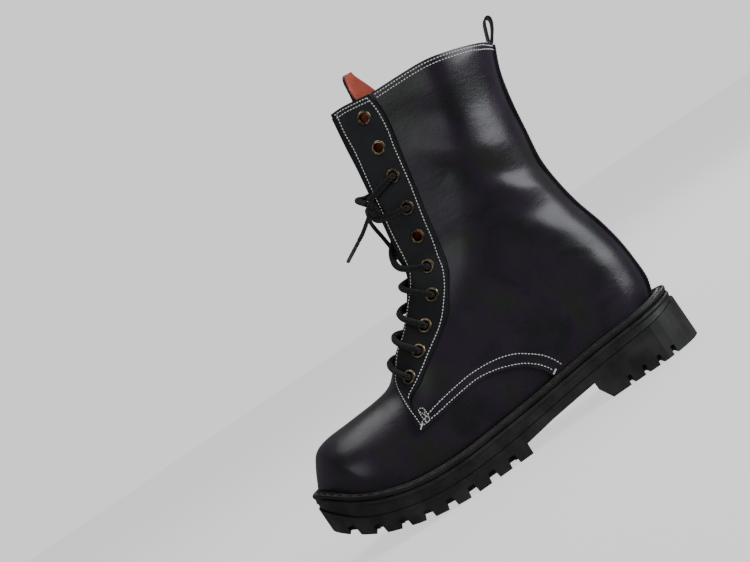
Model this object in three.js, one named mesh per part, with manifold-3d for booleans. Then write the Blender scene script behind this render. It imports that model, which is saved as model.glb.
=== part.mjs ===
// A left lace-up work boot: ten eyelets a side, black leather upper, storm-welted lug sole.
// Millimetres, +Z up, toe towards -X, medial side towards +Y, sole resting on z = 0.
import * as THREE from 'three';
import { mergeVertices } from 'three/addons/utils/BufferGeometryUtils.js';
import Module from 'manifold-3d';

const wasm = await Module();
wasm.setup();

// ---------- driving dimensions ----------

// Sole: reach at each end, round of each end in plan, and how far each layer steps in.
const toeReach = -157;
const heelReach = 157;
const toeRound = 62;
const heelRound = 44;
const treadInset = 0;
const midsoleInset = 1.6;
const weltInset = 1.0;
const weltWidth = 17;
const weltHeight = 4.2;
const layerGap = 0.4;

// Tread: lug pattern of the forefoot and notches of the heel.
const lugPitch = 18.2;
const lugGap = 7.2;
const lugCount = 8;
const lastLugCentre = -4.3;
const lugDepth = 7.5;
const lugLength = 24;
const channelWidth = 5;
const heelBreast = 74;
const heelNotch = 4;
const firstNotch = 18;
const heelNotchPitch = 13;
const heelNotchCount = 4;
const heelNotchDepth = 7;
const heelNotchLength = 20;
const cutterMargin = 12;
const cutterDrop = 6;
const gapMouth = 0.62;
const gapRoot = 0.38;

// Upper: leather layers as distances from the outer face of the vamp, outwards positive.
const vampLayer = [-1.5, 0];
const toePuffLayer = [-2.6, -1.9];
const heelCounterLayer = [-2.0, -1.0];
const liningLayer = [-4.7, -3.8];
const quarterLayer = [1.0, 2.2];
const facingLayer = [2.8, 4.0];
const backstayLayer = [3.5, 4.4];
const tongueLayer = [-8.8, -7.2];
const tongueLiningLayer = [-10.0, -9.2];
const quarterSplit = 0.25;
const upperLift = 0.4;

// Shaft front: nose radius between the facings and the spread of the two sides behind it.
const toeTip = -152;
const toeDomeLength = 55;
const noseRadius = 16;
const noseSpread = THREE.MathUtils.degToRad(22);

// Backstay strip, pull loop, tongue.
const backstayHalf = 8.5;
const loopWidth = 17;
const loopLeather = 1.6;
const loopGap = 5.4;
const loopReach = 17;
const loopLean = THREE.MathUtils.degToRad(24);
const loopPivot = [154, 274.8];
const tongueDepth = 30;
const tongueSetBack = 10;
const tongueSetBackHeights = [205, 285];
const tongueRise = 22;
const tongueRiseHeights = [200, 292];

// Eyelets and lace.
const eyeletBore = 3.15;
const eyeletBarrel = 3.6;
const eyeletFlange = 5.9;
const eyeletCurl = 4.7;
const eyeletMetal = 0.6;
const flangeClearance = 0.8;
const holeClearance = 0.6;
const curlClearance = 0.9;
const laceRadius = 1.7;
const laceGap = 1.6;
const laceSides = 8;
const lacedFrom = 2;
const skippedEyelet = 4;
const bottomEyelet = 9;
const edgeDepth = 5;
const overHeight = 7.5;
const overFlange = 7.8;
const underHeight = -3.6;
const underCurl = -4.2;
const frontOuter = 0.8;
const frontInner = -4.2;
const knotCentre = [5.5, -18, 214.2];
const knotRadii = [4, 4, 6];
const agletRadius = 1.5;
const agletLength = 18;
const strandShares = { leave: 0.1, edge: 0.25, middle: 0.45, under: 0.68, reach: 0.8 };

// Moves the middle of the whole boot's box in plan onto the origin.
const originShift = [-3.4, 0.36];

// ---------- side-view outlines of the upper, [x, z] ----------

const ridgePoints = [
  [-149.6, 61], [-147, 66], [-141, 77], [-134, 86], [-122, 90], [-100, 91.5], [-74, 93.5], [-60, 97],
  [-51, 104.5], [-40, 117], [-24, 132], [-12, 146], [-4, 159], [1, 183], [5.5, 210], [11, 245], [16, 292],
];
const backPoints = [
  [140.5, 43], [145, 56], [145, 72], [143.6, 90], [139.8, 110], [133.9, 131], [130, 153], [128.6, 175],
  [131.8, 200], [135.4, 225], [141, 249], [149.6, 269],
];
const toplinePoints = [
  [18, 291], [32, 290.5], [52, 286.5], [75, 285], [96, 283], [116, 278.5], [136, 273], [149.6, 269],
];
const featherPoints = [
  [-149.6, 61], [-143, 57.6], [-136, 53.5], [-127, 48], [-107, 39], [-79, 31.6], [-45, 29.4], [-10, 30.9],
  [26, 33.4],
  [82, 38.8], [123, 41.5], [140.5, 43],
];
const facingFrontPoints = [
  [-57.6, 58], [-57.4, 77], [-53, 94], [-44.5, 107], [-34, 116.5], [-18.5, 130], [-7, 145], [1.5, 158.5],
  [5.5, 183],
  [10, 210], [15.5, 245], [18, 266], [21.5, 291],
];
const facingRearPoints = [
  [-54, 58.6], [-54.2, 72], [-50, 81], [-39, 86], [-29, 93], [-11, 104.5], [7, 117], [15, 127], [28, 147],
  [33.5, 170], [38.7, 196.5],
  [46, 230], [51.5, 257], [53.5, 273], [52.5, 286.4],
];
const liningFrontPoints = [
  [-57.6, 58], [-56, 74], [-46, 86], [-29, 96.5], [-9, 108], [7, 120], [17, 131], [26, 148], [32, 172],
  [38, 200],
  [45, 232], [49, 258], [50.5, 275], [50, 286.7],
];
const seamPoints = [
  [-57.6, 58], [-39, 60.5], [-13, 64.5], [0, 65], [12, 63], [22, 59.5], [31, 55], [38.5, 48.5], [43, 43],
  [45.6, 35.2],
];
const vampRearPoints = [
  [54, 36], [51, 45], [44, 56], [33, 65], [18, 72], [0, 75], [-20, 75], [-40, 73], [-47, 80], [-48, 92],
  [-50, 106],
];
const eyeletPoints = [
  [39.5, 274], [36, 249.5], [33, 226], [28.5, 200.5], [23, 178.5], [16.5, 155.5], [7, 135.5], [-10.5, 119],
  [-25, 106], [-41, 94],
];

// Half widths of the upper and of the sole at stations along x: [x, lateral, medial].
const upperWidths = [
  [-152, 47, 45], [-110, 48.5, 47], [-75, 48.5, 46], [-40, 46, 39], [0, 40, 31], [40, 35.5, 29], [80, 33, 31],
  [110, 33, 33], [146, 33, 33],
];
const soleWidths = [
  [-157, 54, 53], [-110, 56, 52.5], [-75, 57, 54.5], [-40, 56, 47], [0, 49, 38], [40, 44, 36], [80, 41, 38],
  [115, 40, 40], [157, 40, 40],
];
const shaftWidths = [[40, 33], [110, 34], [140, 35], [180, 39], [230, 44], [292, 47]];
const centreShift = [[-157, 9], [-110, 4], [-75, 1], [-40, 0], [157, 0]];
const archHeights = [[-150, 24], [-120, 38], [-80, 52], [-50, 58]];
const backRounds = [[43, 38], [110, 42], [180, 50], [290, 62]];

// Heights along x: the tread, the top of the tread's side wall and the welt's top.
const treadPoints = [[-157, 30], [-137, 19.5], [-118, 11.5], [-91, 4.4], [-72, 1.4], [-55, 0]];
const shankHeights = [[3, 8.4], [28, 12.2], [heelBreast, 17]];
const wallTopPoints = [
  [-157, 50], [-139, 37], [-127, 29.5], [-103, 21.8], [-73, 15.8], [-40, 14.6], [-5, 16.2], [32, 20],
  [69, 24],
  [106, 27], [131, 29.2], [157, 34],
];

// ---------- small tools ----------

const clamp = THREE.MathUtils.clamp;
const ramp = (value, low, high) => THREE.MathUtils.smoothstep(value, low, high);
const mix = THREE.MathUtils.lerp;

// Smooth curve through [x, z] points.
function curve(points) {
  return new THREE.SplineCurve(points.map(([x, z]) => new THREE.Vector2(x, z)));
}

// Curves joined end to end, read by the share of the whole length.
function joined(...curves) {
  const path = new THREE.CurvePath();
  curves.forEach((piece) => path.add(piece));
  return path;
}

// Straight-line table lookup: column of the value for x.
function lookup(table, x, column = 1) {
  const last = table.length - 1;
  if (x <= table[0][0]) return table[0][column];
  if (x >= table[last][0]) return table[last][column];
  const next = table.findIndex((row) => row[0] >= x);
  const [before, after] = [table[next - 1], table[next]];
  const share = (x - before[0]) / (after[0] - before[0]);
  return mix(before[column], after[column], share);
}

// Table resampled through a smooth curve, so that lookups follow a curve.
function smoothTable(table, column = 1) {
  return curve(table.map((row) => [row[0], row[column]])).getPoints(table.length * 6).map(({ x,
    y }) => [x, y]);
}

const smoothMinimum = (a, b, blend) => {
  const overlap = Math.max(blend - Math.abs(a - b), 0) / blend;
  return Math.min(a, b) - overlap * overlap * blend * 0.25;
};
const dome = (share) => (share >= 1 ? 1 : 1 - (1 - share) ** 2);

// ---------- the upper's outer surface ----------

const ridge = curve(ridgePoints);
const ridgeTrack = ridge.getSpacedPoints(160);
const backTable = smoothTable(backPoints.map(([x, z]) => [z, x]));
const upperTables = [smoothTable(upperWidths, 1), smoothTable(upperWidths, 2)];
const shaftTable = smoothTable(shaftWidths);
const shiftTable = smoothTable(centreShift);

// Distance inwards from the ridge, negative outside it.
function ridgeDepth(x, z) {
  let best = Infinity;
  let sign = 1;
  for (let i = 0; i < ridgeTrack.length - 1; i += 1) {
    const a = ridgeTrack[i];
    const b = ridgeTrack[i + 1];
    const dx = b.x - a.x;
    const dz = b.y - a.y;
    const share = clamp(((x - a.x) * dx + (z - a.y) * dz) / (dx * dx + dz * dz), 0, 1);
    const away = Math.hypot(x - a.x - share * dx, z - a.y - share * dz);
    if (away < best) {
      best = away;
      sign = (x - a.x) * dz - (z - a.y) * dx >= 0 ? 1 : -1;
    }
  }
  return best * sign;
}

// Square of the half width behind the shaft's front: a round nose, then two straight sides.
function noseSquared(depth) {
  const tangent = noseRadius * (1 - Math.sin(noseSpread));
  if (depth < tangent) return depth * (2 * noseRadius - depth);
  return (noseRadius * Math.cos(noseSpread) + (depth - tangent) * Math.tan(noseSpread)) ** 2;
}

// Square of the upper's half width at [x, z]; side is -1 lateral, +1 medial.
function widthSquared(x, z, side) {
  const depth = ridgeDepth(x, z);
  const toeDome = dome((x - toeTip) / toeDomeLength);
  const footWidth = lookup(upperTables[side < 0 ? 0 : 1], x);
  const shaftWidth = lookup(shaftTable, z);
  const shaftShare = ramp(z, 60, 140) * ramp(x, -60, 10);
  const limit = mix(footWidth ** 2 * toeDome, shaftWidth ** 2, shaftShare);
  const back = limit * dome((lookup(backTable, z) - x) / lookup(backRounds, z));
  const arch = limit * dome(depth / lookup(archHeights, x));
  const front = mix(arch, noseSquared(depth), ramp(z, 95, 165));
  return smoothMinimum(back, front, mix(1, 400, ramp(x, -90, -30)));
}

const centreLine = (x) => lookup(shiftTable, x);
const featherTable = smoothTable([[-157, 65], ...featherPoints, [157, 44.5]]);
const weltTop = (x) => lookup(featherTable, x);

// Point at [x, z] on one side, moved outwards by a distance; nothing sinks into the welt.
function upperPoint(x, z, side, outwards, split = 0) {
  const y = centreLine(x) + side * Math.sqrt(Math.max(widthSquared(x, z, side), 0));
  const step = 0.4;
  const level = (px, py, pz) => widthSquared(px, pz, side) - (py - centreLine(px)) ** 2;
  const normal = new THREE.Vector3(
    level(x - step, y, z) - level(x + step, y, z),
    level(x, y - step, z) - level(x, y + step, z),
    level(x, y, z - step) - level(x, y, z + step),
  ).normalize();
  const point = new THREE.Vector3(x, y + side * split, z).addScaledVector(normal, outwards);
  point.z = Math.max(point.z, weltTop(point.x) + upperLift);
  return point;
}

// Four-sided patch of the side view between its bottom, top, front and rear curves.
function sidePatch(bottom, top, front, rear) {
  const corner = [front.getPointAt(0), rear.getPointAt(0), front.getPointAt(1), rear.getPointAt(1)];
  return (s, t) => {
    const [b, c] = [bottom.getPointAt(s), top.getPointAt(s)];
    const [f, r] = [front.getPointAt(t), rear.getPointAt(t)];
    const blend = (axis) => (1 - t) * b[axis] + t * c[axis] + (1 - s) * f[axis] + s * r[axis]
      - (1 - s) * (1 - t) * corner[0][axis] - s * (1 - t) * corner[1][axis]
      - (1 - s) * t * corner[2][axis] - s * t * corner[3][axis];
    return [blend('x'), blend('y')];
  };
}

// ---------- solids ----------

// Closed solid from two matching grids of points: a far face and a near face.
function solidFromGrids(outer, inner) {
  const rows = outer.length;
  const columns = outer[0].length;
  const positions = [outer, inner].flatMap((grid) => grid.flatMap((row) => row.flatMap((p) => p.toArray())));
  const at = (layer, i, j) => layer * rows * columns + i * columns + j;
  const index = [];
  const quad = (a, b, c, d) => index.push(a, b, c, a, c, d);
  for (let i = 0; i < rows - 1; i += 1) {
    for (let j = 0; j < columns - 1; j += 1) {
      quad(at(0, i, j), at(0, i + 1, j), at(0, i + 1, j + 1), at(0, i, j + 1));
      quad(at(1, i, j), at(1, i, j + 1), at(1, i + 1, j + 1), at(1, i + 1, j));
    }
  }
  for (let i = 0; i < rows - 1; i += 1) {
    quad(at(0, i, 0), at(1, i, 0), at(1, i + 1, 0), at(0, i + 1, 0));
    quad(at(0, i + 1, columns - 1), at(1, i + 1, columns - 1), at(1, i, columns - 1), at(0, i, columns - 1));
  }
  for (let j = 0; j < columns - 1; j += 1) {
    quad(at(0, 0, j + 1), at(1, 0, j + 1), at(1, 0, j), at(0, 0, j));
    quad(at(0, rows - 1, j), at(1, rows - 1, j), at(1, rows - 1, j + 1), at(0, rows - 1, j + 1));
  }
  return faceOutwards(positions, index);
}

// Geometry whose enclosed volume is positive, turning every face when it is not.
function faceOutwards(positions, index) {
  const geometry = new THREE.BufferGeometry();
  geometry.setAttribute('position', new THREE.Float32BufferAttribute(positions, 3));
  const corner = (k) => new THREE.Vector3().fromBufferAttribute(geometry.attributes.position, index[k]);
  let volume = 0;
  for (let k = 0; k < index.length; k += 3) volume += corner(k).dot(corner(k + 1).cross(corner(k + 2)));
  geometry.setIndex(volume > 0 ? index : index.slice().reverse());
  geometry.computeVertexNormals();
  return geometry;
}

// Leather sheet over a grid of places [x, z, side] between two distances from the surface.
function sheet(rows, columns, place, [near, far], split = 0) {
  const grid = (outwards) => Array.from({ length: rows + 1 }, (_, i) => (
    Array.from({ length: columns + 1 }, (__, j) => {
      const [x, z, side] = place(i / rows, j / columns);
      return upperPoint(x, z, side, outwards, split);
    })));
  return solidFromGrids(grid(far), grid(near));
}

function toManifold(geometry) {
  const bare = geometry.clone();
  bare.deleteAttribute('normal');
  if (bare.attributes.uv) bare.deleteAttribute('uv');
  const merged = mergeVertices(bare, 1e-4);
  return new wasm.Manifold(new wasm.Mesh({
    numProp: 3,
    vertProperties: new Float32Array(merged.attributes.position.array),
    triVerts: new Uint32Array(merged.index.array),
  }));
}

function fromManifold(solid) {
  const { vertProperties, triVerts } = solid.getMesh();
  const geometry = new THREE.BufferGeometry();
  geometry.setAttribute('position', new THREE.BufferAttribute(new Float32Array(vertProperties), 3));
  geometry.setIndex(Array.from(triVerts));
  geometry.computeVertexNormals();
  return geometry;
}

function without(geometry, cutters) {
  let solid = toManifold(geometry);
  for (const cutter of cutters) solid = solid.subtract(toManifold(cutter));
  return fromManifold(solid);
}

const materials = {
  leather: new THREE.MeshStandardMaterial({ color: 0x17161a, roughness: 0.32, metalness: 0 }),
  facingLeather: new THREE.MeshStandardMaterial({ color: 0x1a1a1b, roughness: 0.38, metalness: 0 }),
  lining: new THREE.MeshStandardMaterial({ color: 0xb8482a, roughness: 0.75, metalness: 0 }),
  stiffener: new THREE.MeshStandardMaterial({ color: 0x8a7f6c, roughness: 0.85, metalness: 0 }),
  cork: new THREE.MeshStandardMaterial({ color: 0x9a6b3d, roughness: 0.9, metalness: 0 }),
  steel: new THREE.MeshStandardMaterial({ color: 0x9a9ca0, roughness: 0.4, metalness: 1 }),
  rubber: new THREE.MeshStandardMaterial({ color: 0x101011, roughness: 0.6, metalness: 0 }),
  brass: new THREE.MeshStandardMaterial({ color: 0x8c6e3f, roughness: 0.42, metalness: 1 }),
  lace: new THREE.MeshStandardMaterial({ color: 0x0d0d0e, roughness: 0.85, metalness: 0 }),
  aglet: new THREE.MeshStandardMaterial({ color: 0x2c2c2f, roughness: 0.35, metalness: 0 }),
};

// The bounding box is centred on the origin in plan: the loop reaches further back than the sole.
const boot = new THREE.Group();
boot.position.set(...originShift, 0);

function add(name, geometry, material) {
  const mesh = new THREE.Mesh(geometry, material);
  mesh.name = name;
  boot.add(mesh);
}

// ---------- sole ----------

const soleTables = [smoothTable(soleWidths, 1), smoothTable(soleWidths, 2)];
const wallTopTable = smoothTable(wallTopPoints);
const treadTable = smoothTable(treadPoints);
const wallTop = (x) => lookup(wallTopTable, x);

// Underside: toe spring, flat ball, raised shank, flat heel.
function treadBottom(x) {
  if (x < -55) return lookup(treadTable, x);
  if (x < 2) return 0;
  if (x < heelBreast) return lookup(shankHeights, x);
  return 0;
}

// Edge of a sole layer at x on one side, stepped in by an inset.
function soleEdge(x, side, inset) {
  const ends = dome((x - toeReach - inset) / toeRound) * dome((heelReach - inset - x) / heelRound);
  const body = lookup(soleTables[side < 0 ? 0 : 1], x) - inset;
  return centreLine(x) + side * body * Math.sqrt(Math.max(ends, 0));
}

// Stations along x, close together at the rounded ends, with extra ones where a height jumps.
function stations(from, to, count, extra = []) {
  const even = Array.from({ length: count + 1 }, (_, i) => (
    mix(from, to, (1 - Math.cos((i / count) * Math.PI)) / 2)));
  const all = [...even, ...extra.filter((x) => x > from && x < to)].sort((a, b) => a - b);
  return all.filter((x, i) => i === 0 || x - all[i - 1] > 0.15);
}

// Sole layer between two heights that depend on x, stepped in by an inset.
function slab(xs, inset, low, high, across = 2) {
  const grid = (height) => xs.map((x) => (
    Array.from({ length: across + 1 }, (_, j) => {
      const y = mix(soleEdge(x, -1, inset), soleEdge(x, 1, inset), j / across);
      return new THREE.Vector3(x, y, height(x));
    })));
  return solidFromGrids(grid(high), grid(low));
}

const endCap = 0.35;
const layerStations = (inset, count, extra) => (
  stations(toeReach + inset + endCap, heelReach - inset - endCap, count, extra));

// Block with slanting front and rear faces, for a gap between lugs.
function gapCutter(x, bottom, width, depth, yFrom, yTo) {
  const profile = new THREE.Shape();
  profile.moveTo(x - width * gapMouth, bottom - cutterDrop);
  profile.lineTo(x + width * gapMouth, bottom - cutterDrop);
  profile.lineTo(x + width * gapRoot, bottom + depth);
  profile.lineTo(x - width * gapRoot, bottom + depth);
  profile.closePath();
  const geometry = new THREE.ExtrudeGeometry(profile, { depth: yTo - yFrom, bevelEnabled: false });
  geometry.rotateX(Math.PI / 2);
  geometry.translate(0, yTo, 0);
  return geometry;
}

function outsole() {
  const breast = [1.8, 2.2, heelBreast - 0.2, heelBreast + 0.2, -55];
  const body = slab(layerStations(treadInset, 34, breast), treadInset, treadBottom,
    (x) => wallTop(x) - layerGap);
  const cutters = [];
  for (let k = 0; k < lugCount; k += 1) {
    const x = lastLugCentre - (k + 0.5) * lugPitch;
    for (const side of [-1, 1]) {
      const edge = soleEdge(x, side, 0);
      const inner = edge - side * lugLength;
      const [from, to] = side < 0 ? [edge - cutterMargin, inner] : [inner, edge + cutterMargin];
      cutters.push(gapCutter(x, treadBottom(x), lugGap, lugDepth, from, to));
    }
  }
  for (let k = 0; k < heelNotchCount; k += 1) {
    const x = heelBreast + firstNotch + k * heelNotchPitch;
    for (const side of [-1, 1]) {
      const edge = soleEdge(x, side, 0);
      const inner = edge - side * heelNotchLength;
      const [from, to] = side < 0 ? [edge - cutterMargin, inner] : [inner, edge + cutterMargin];
      cutters.push(gapCutter(x, 0, heelNotch, heelNotchDepth, from, to));
    }
  }
  for (const side of [-1, 1]) cutters.push(channel(side));
  return without(body, cutters);
}

// Lengthwise channel between the edge lugs and the middle of the forefoot tread.
function channel(side) {
  const xs = stations(-128, -12, 12);
  const inner = (x) => soleEdge(x, side, 0) - side * (lugLength + channelWidth);
  const outer = (x) => soleEdge(x, side, 0) - side * (lugLength - 0.5);
  const grid = (height) => xs.map((x) => [inner(x), outer(x)].map((y) => new THREE.Vector3(x, y, height(x))));
  return solidFromGrids(grid((x) => treadBottom(x) + lugDepth - 1.5),
    grid((x) => treadBottom(x) - cutterDrop));
}

// Welt: a flat ring round the whole boot that the upper stands on.
function welt() {
  const outer = slab(layerStations(weltInset, 28), weltInset, (x) => weltTop(x) - weltHeight, weltTop);
  const hole = slab(
    layerStations(weltInset + weltWidth, 24), weltInset + weltWidth,
    (x) => weltTop(x) - weltHeight - 3, (x) => weltTop(x) + 3);
  return without(outer, [hole]);
}

const fillerInset = weltInset + weltWidth + 2 * layerGap;
const insoleInset = 21;
const insoleBoard = 2.2;
const sockLiner = 2.0;
const shankWidth = 7;
const shankReach = [8, 104];
const shankSteel = 1.6;
const fillerRear = 2;

add('outsole', outsole(), materials.rubber);
add('midsole', slab(
  layerStations(midsoleInset, 26), midsoleInset, wallTop, (x) => weltTop(x) - weltHeight - layerGap),
    materials.rubber);
add('welt', welt(), materials.rubber);
add('bottom_filler', slab(
  stations(toeReach + fillerInset + endCap, fillerRear, 18), fillerInset,
  (x) => weltTop(x) - weltHeight, (x) => weltTop(x) - 0.2), materials.cork);
add('insole_board', slab(
  layerStations(insoleInset, 20), insoleInset, (x) => weltTop(x) + 0.3,
    (x) => weltTop(x) + 0.3 + insoleBoard),
materials.stiffener);
add('sock_liner', slab(
  layerStations(insoleInset + 0.5, 20), insoleInset + 0.5, (x) => weltTop(x) + 0.3 + insoleBoard + layerGap,
  (x) => weltTop(x) + 0.3 + insoleBoard + layerGap + sockLiner), materials.lining);

// Steel shank under the insole board, from behind the ball to the heel.
function shank() {
  const xs = stations(...shankReach, 10);
  const grid = (lift) => xs.map((x) => (
    [-shankWidth, shankWidth].map((y) => new THREE.Vector3(x, y, weltTop(x) + lift))));
  return solidFromGrids(grid(-weltHeight + 0.4 + shankSteel), grid(-weltHeight + 0.4));
}
add('shank', shank(), materials.steel);

// ---------- upper ----------

const lifted = (points) => points.map(([x, z]) => [x, z + upperLift]);
const featherCurve = (points) => curve(lifted(points));
const toeFeather = featherPoints.slice(0, 4).reverse();
const seam = curve(seamPoints);

// Share across a patch that comes closer together towards its rear.
const crowded = (share) => 1 - (1 - share) ** 2;

// Front part of a layer: from the toe's feather line to a rear curve, over the ridge.
function toePatch(rearPoints, ridgeEnd, featherEnd) {
  const ridgePart = curve([...ridgePoints.filter(([x]) => x < ridgeEnd[0] - 4), ridgeEnd]);
  const bottom = featherCurve([...featherPoints.slice(3).filter(([x]) => x < featherEnd[0] - 4), featherEnd]);
  return sidePatch(bottom, ridgePart, curve(lifted(toeFeather)), curve(rearPoints));
}

function overRidge(patch, rows, columns, layer) {
  return sheet(rows, columns, (s, v) => {
    const across = v * 2 - 1;
    const [x, z] = patch(s, 1 - across * across);
    return [x, z, across < 0 ? -1 : 1];
  }, layer);
}

const throat = [-50, 106];
const vampPatch = toePatch(lifted(vampRearPoints), throat, vampRearPoints[0]);
const vampRows = 14;
const vampColumns = 14;
add('vamp', overRidge(vampPatch, vampRows, vampColumns, vampLayer), materials.leather);

// The toe puff ends part of the way back along the vamp's own grid.
const puffRows = 5;
const puffShare = puffRows / vampRows;
const puffPatch = (s, t) => vampPatch(s * puffShare, t);
add('toe_puff', overRidge(puffPatch, puffRows, vampColumns, toePuffLayer), materials.stiffener);

const vampLiningRear = [
  [40, 34.6], [32, 46], [17, 55.5], [0, 60], [-39, 56], [-64, 54.5], [-63.5, 78], [-62, 96.3],
];
const vampLiningPatch = toePatch(lifted(vampLiningRear), [-62, 96.3], vampLiningRear[0]);
add('vamp_lining', overRidge(vampLiningPatch, 11, 12, liningLayer), materials.lining);

const backCurve = curve(backPoints.map(([x, z], i) => [x, i === 0 ? z + upperLift : z]));
const facingPatch = sidePatch(
  curve([facingFrontPoints[0], facingRearPoints[0]]), curve([[21.5, 291], [32, 290.5], [52.5, 286.4]]),
  curve(facingFrontPoints), curve(facingRearPoints));
const heelFeather = featherCurve([[45.6, 34.8], [82, 38.8], [123, 41.5], [140.5, 43]]);
const restPatch = sidePatch(
  joined(curve([facingRearPoints[0], ...seamPoints.slice(1)]), heelFeather),
  curve([[52.5, 286.4], ...toplinePoints.slice(3)]), curve(facingRearPoints), backCurve);
const liningPatch = sidePatch(
  joined(seam, heelFeather), curve([[50, 286.7], ...toplinePoints.slice(3)]), curve(liningFrontPoints),
    backCurve);
const facingColumns = 3;
const quarterRows = 18;

// Half of the shaft and heel on one side, from the facing edge to the back line.
function quarter(side, rows, columns) {
  return sheet(rows, columns, (t, v) => {
    const column = Math.round(v * columns);
    if (column <= facingColumns) return [...facingPatch(column / facingColumns, t), side];
    return [...restPatch(crowded((column - facingColumns) / (columns - facingColumns)), t), side];
  }, quarterLayer, quarterSplit);
}

function quarterLining(side) {
  return sheet(12, 9, (t, v) => [...liningPatch(crowded(v), t), side], liningLayer, quarterSplit);
}

// The overlay that carries the eyelets, down the front edge of a quarter.
function facing(side) {
  return sheet(quarterRows, facingColumns, (t, s) => [...facingPatch(s, t), side], facingLayer, quarterSplit);
}

// Frame of one eyelet: centre on the vamp surface level and outward direction.
function eyeletFrame([x, z], side) {
  const centre = upperPoint(x, z, side, 0);
  const outside = upperPoint(x, z, side, 10);
  const direction = outside.clone().sub(centre).normalize();
  return { centre, direction, turn: new THREE.Quaternion().setFromUnitVectors(new THREE.Vector3(0, 1, 0),
    direction) };
}

function placed(geometry, frame) {
  geometry.applyQuaternion(frame.turn);
  geometry.translate(...frame.centre.toArray());
  return geometry;
}

const holeCutter = (frame, radius) => placed(new THREE.CylinderGeometry(radius, radius, 30, 8), frame);

// Rolled metal ring: domed flange on the facing, barrel through both layers, curl on the inside.
function eyelet(frame) {
  const top = facingLayer[1] + flangeClearance;
  const foot = quarterLayer[0] - curlClearance;
  const profile = [
    [eyeletBore, foot - eyeletMetal], [eyeletCurl, foot], [eyeletBarrel, foot], [eyeletBarrel, top],
    [eyeletFlange, top], [eyeletBore, top + eyeletMetal * 1.5],
  ].map(([radius, height]) => new THREE.Vector2(radius, height));
  profile.push(profile[0].clone());
  return placed(new THREE.LatheGeometry(profile, 8), frame);
}

for (const [side, sideName] of [[-1, 'lateral'], [1, 'medial']]) {
  const frames = eyeletPoints.map((point) => eyeletFrame(point, side));
  const holes = frames.map((frame) => holeCutter(frame, eyeletBarrel + holeClearance));
  add(`quarter_${sideName}`, without(quarter(side, quarterRows, 12), holes), materials.leather);
  add(`facing_${sideName}`, without(facing(side), holes), materials.facingLeather);
  add(`lining_${sideName}`, quarterLining(side), materials.lining);
  frames.forEach((frame, i) => {
    add(`eyelet_${sideName}_${String(i + 1).padStart(2, '0')}`, eyelet(frame), materials.brass);
  });
}

// Stiff cup round the heel, open at the front and top.
function heelCounter() {
  const reach = 72;
  return sheet(5, 12, (t, v) => {
    const across = v * 2 - 1;
    const rear = mix(0.6, 1, 1 - across * across);
    const z = mix(45, 104, t * rear);
    const back = lookup(backTable, z);
    return [back - (back - reach) * across * across, z, across < 0 ? -1 : 1];
  }, heelCounterLayer);
}
add('heel_counter', heelCounter(), materials.stiffener);

// Strip over the back seam.
function backstay() {
  const backX = (y, z) => {
    let low = lookup(backTable, z) - 12;
    let high = lookup(backTable, z);
    for (let i = 0; i < 30; i += 1) {
      const middle = (low + high) / 2;
      if (widthSquared(middle, z, Math.sign(y) || 1) > y * y) low = middle;
      else high = middle;
    }
    return (low + high) / 2;
  };
  return sheet(14, 3, (t, v) => {
    const y = (v * 2 - 1) * backstayHalf;
    const z = mix(46, 268, t);
    return [backX(y, z), z, y < 0 ? -1 : 1];
  }, backstayLayer);
}
add('backstay', backstay(), materials.leather);

// ---------- tongue ----------

// Tongue sheet behind the lacing; above the eyelets it leans back into the shaft.
function tongue(layer, trim) {
  const side = curve([[-46, 110], ...ridgePoints.filter(([x]) => x > -45)]);
  const spine = (t) => side.getPointAt(clamp(t, 0, 1));
  return sheet(16, 8, (t, v) => {
    const across = v * 2 - 1;
    const point = spine(t);
    const ahead = side.getTangentAt(t);
    const rounded = Math.sqrt(1 - 0.75 * ramp(t, 0.86, 1) * across * across);
    const depth = (tongueDepth - trim) * across * across * rounded;
    return [point.x + ahead.y * depth, point.y - ahead.x * depth, across < 0 ? -1 : 1];
  }, layer);
}

function leanBack(geometry) {
  const place = geometry.attributes.position;
  for (let i = 0; i < place.count; i += 1) {
    const z = place.getZ(i);
    place.setX(i, place.getX(i) + tongueSetBack * ramp(z, ...tongueSetBackHeights));
    place.setZ(i, z + tongueRise * ramp(z, ...tongueRiseHeights));
  }
  geometry.computeVertexNormals();
  return geometry;
}
add('tongue', leanBack(tongue(tongueLayer, 0)), materials.leather);
add('tongue_lining', leanBack(tongue(tongueLiningLayer, 2)), materials.lining);

// ---------- lace ----------

// Place near the front edge of a facing: share along the ridge, side, depth behind the ridge, how far out.
function edgePlace(share, side, depth, outwards) {
  const point = ridge.getPointAt(share);
  const ahead = ridge.getTangentAt(share);
  return upperPoint(point.x + ahead.y * depth, point.y - ahead.x * depth, side, outwards);
}

// Share along the ridge that lies nearest to a point of the side view.
function ridgeShare(x, z) {
  const away = ridgeTrack.map((p) => Math.hypot(p.x - x, p.y - z));
  return away.indexOf(Math.min(...away)) / (ridgeTrack.length - 1);
}

const eyeletPlace = (index, side, outwards) => {
  const frame = eyeletFrame(eyeletPoints[index], side);
  return frame.centre.clone().addScaledVector(frame.direction, outwards);
};

// One strand from the outside of eyelet `from` on a side, across the front, up through `to` opposite.
function crossing(from, to, side, front) {
  const [low, high] = [ridgeShare(...eyeletPoints[from]), ridgeShare(...eyeletPoints[to])];
  const centre = edgePlace(mix(low, high, strandShares.middle), side, 0, front);
  centre.y = centreLine(centre.x) - side * 0.2;
  return [
    edgePlace(mix(low, high, strandShares.leave), side, edgeDepth, overHeight),
    edgePlace(mix(low, high, strandShares.edge), side, edgeDepth - 3, overHeight - 1),
    centre,
    edgePlace(mix(low, high, strandShares.under), -side, edgeDepth - 2, underHeight - 0.6),
    edgePlace(mix(low, high, strandShares.reach), -side, edgeDepth + 4, underHeight),
    eyeletPlace(to, -side, underCurl),
    eyeletPlace(to, -side, 0),
    eyeletPlace(to, -side, overFlange),
  ];
}

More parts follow.
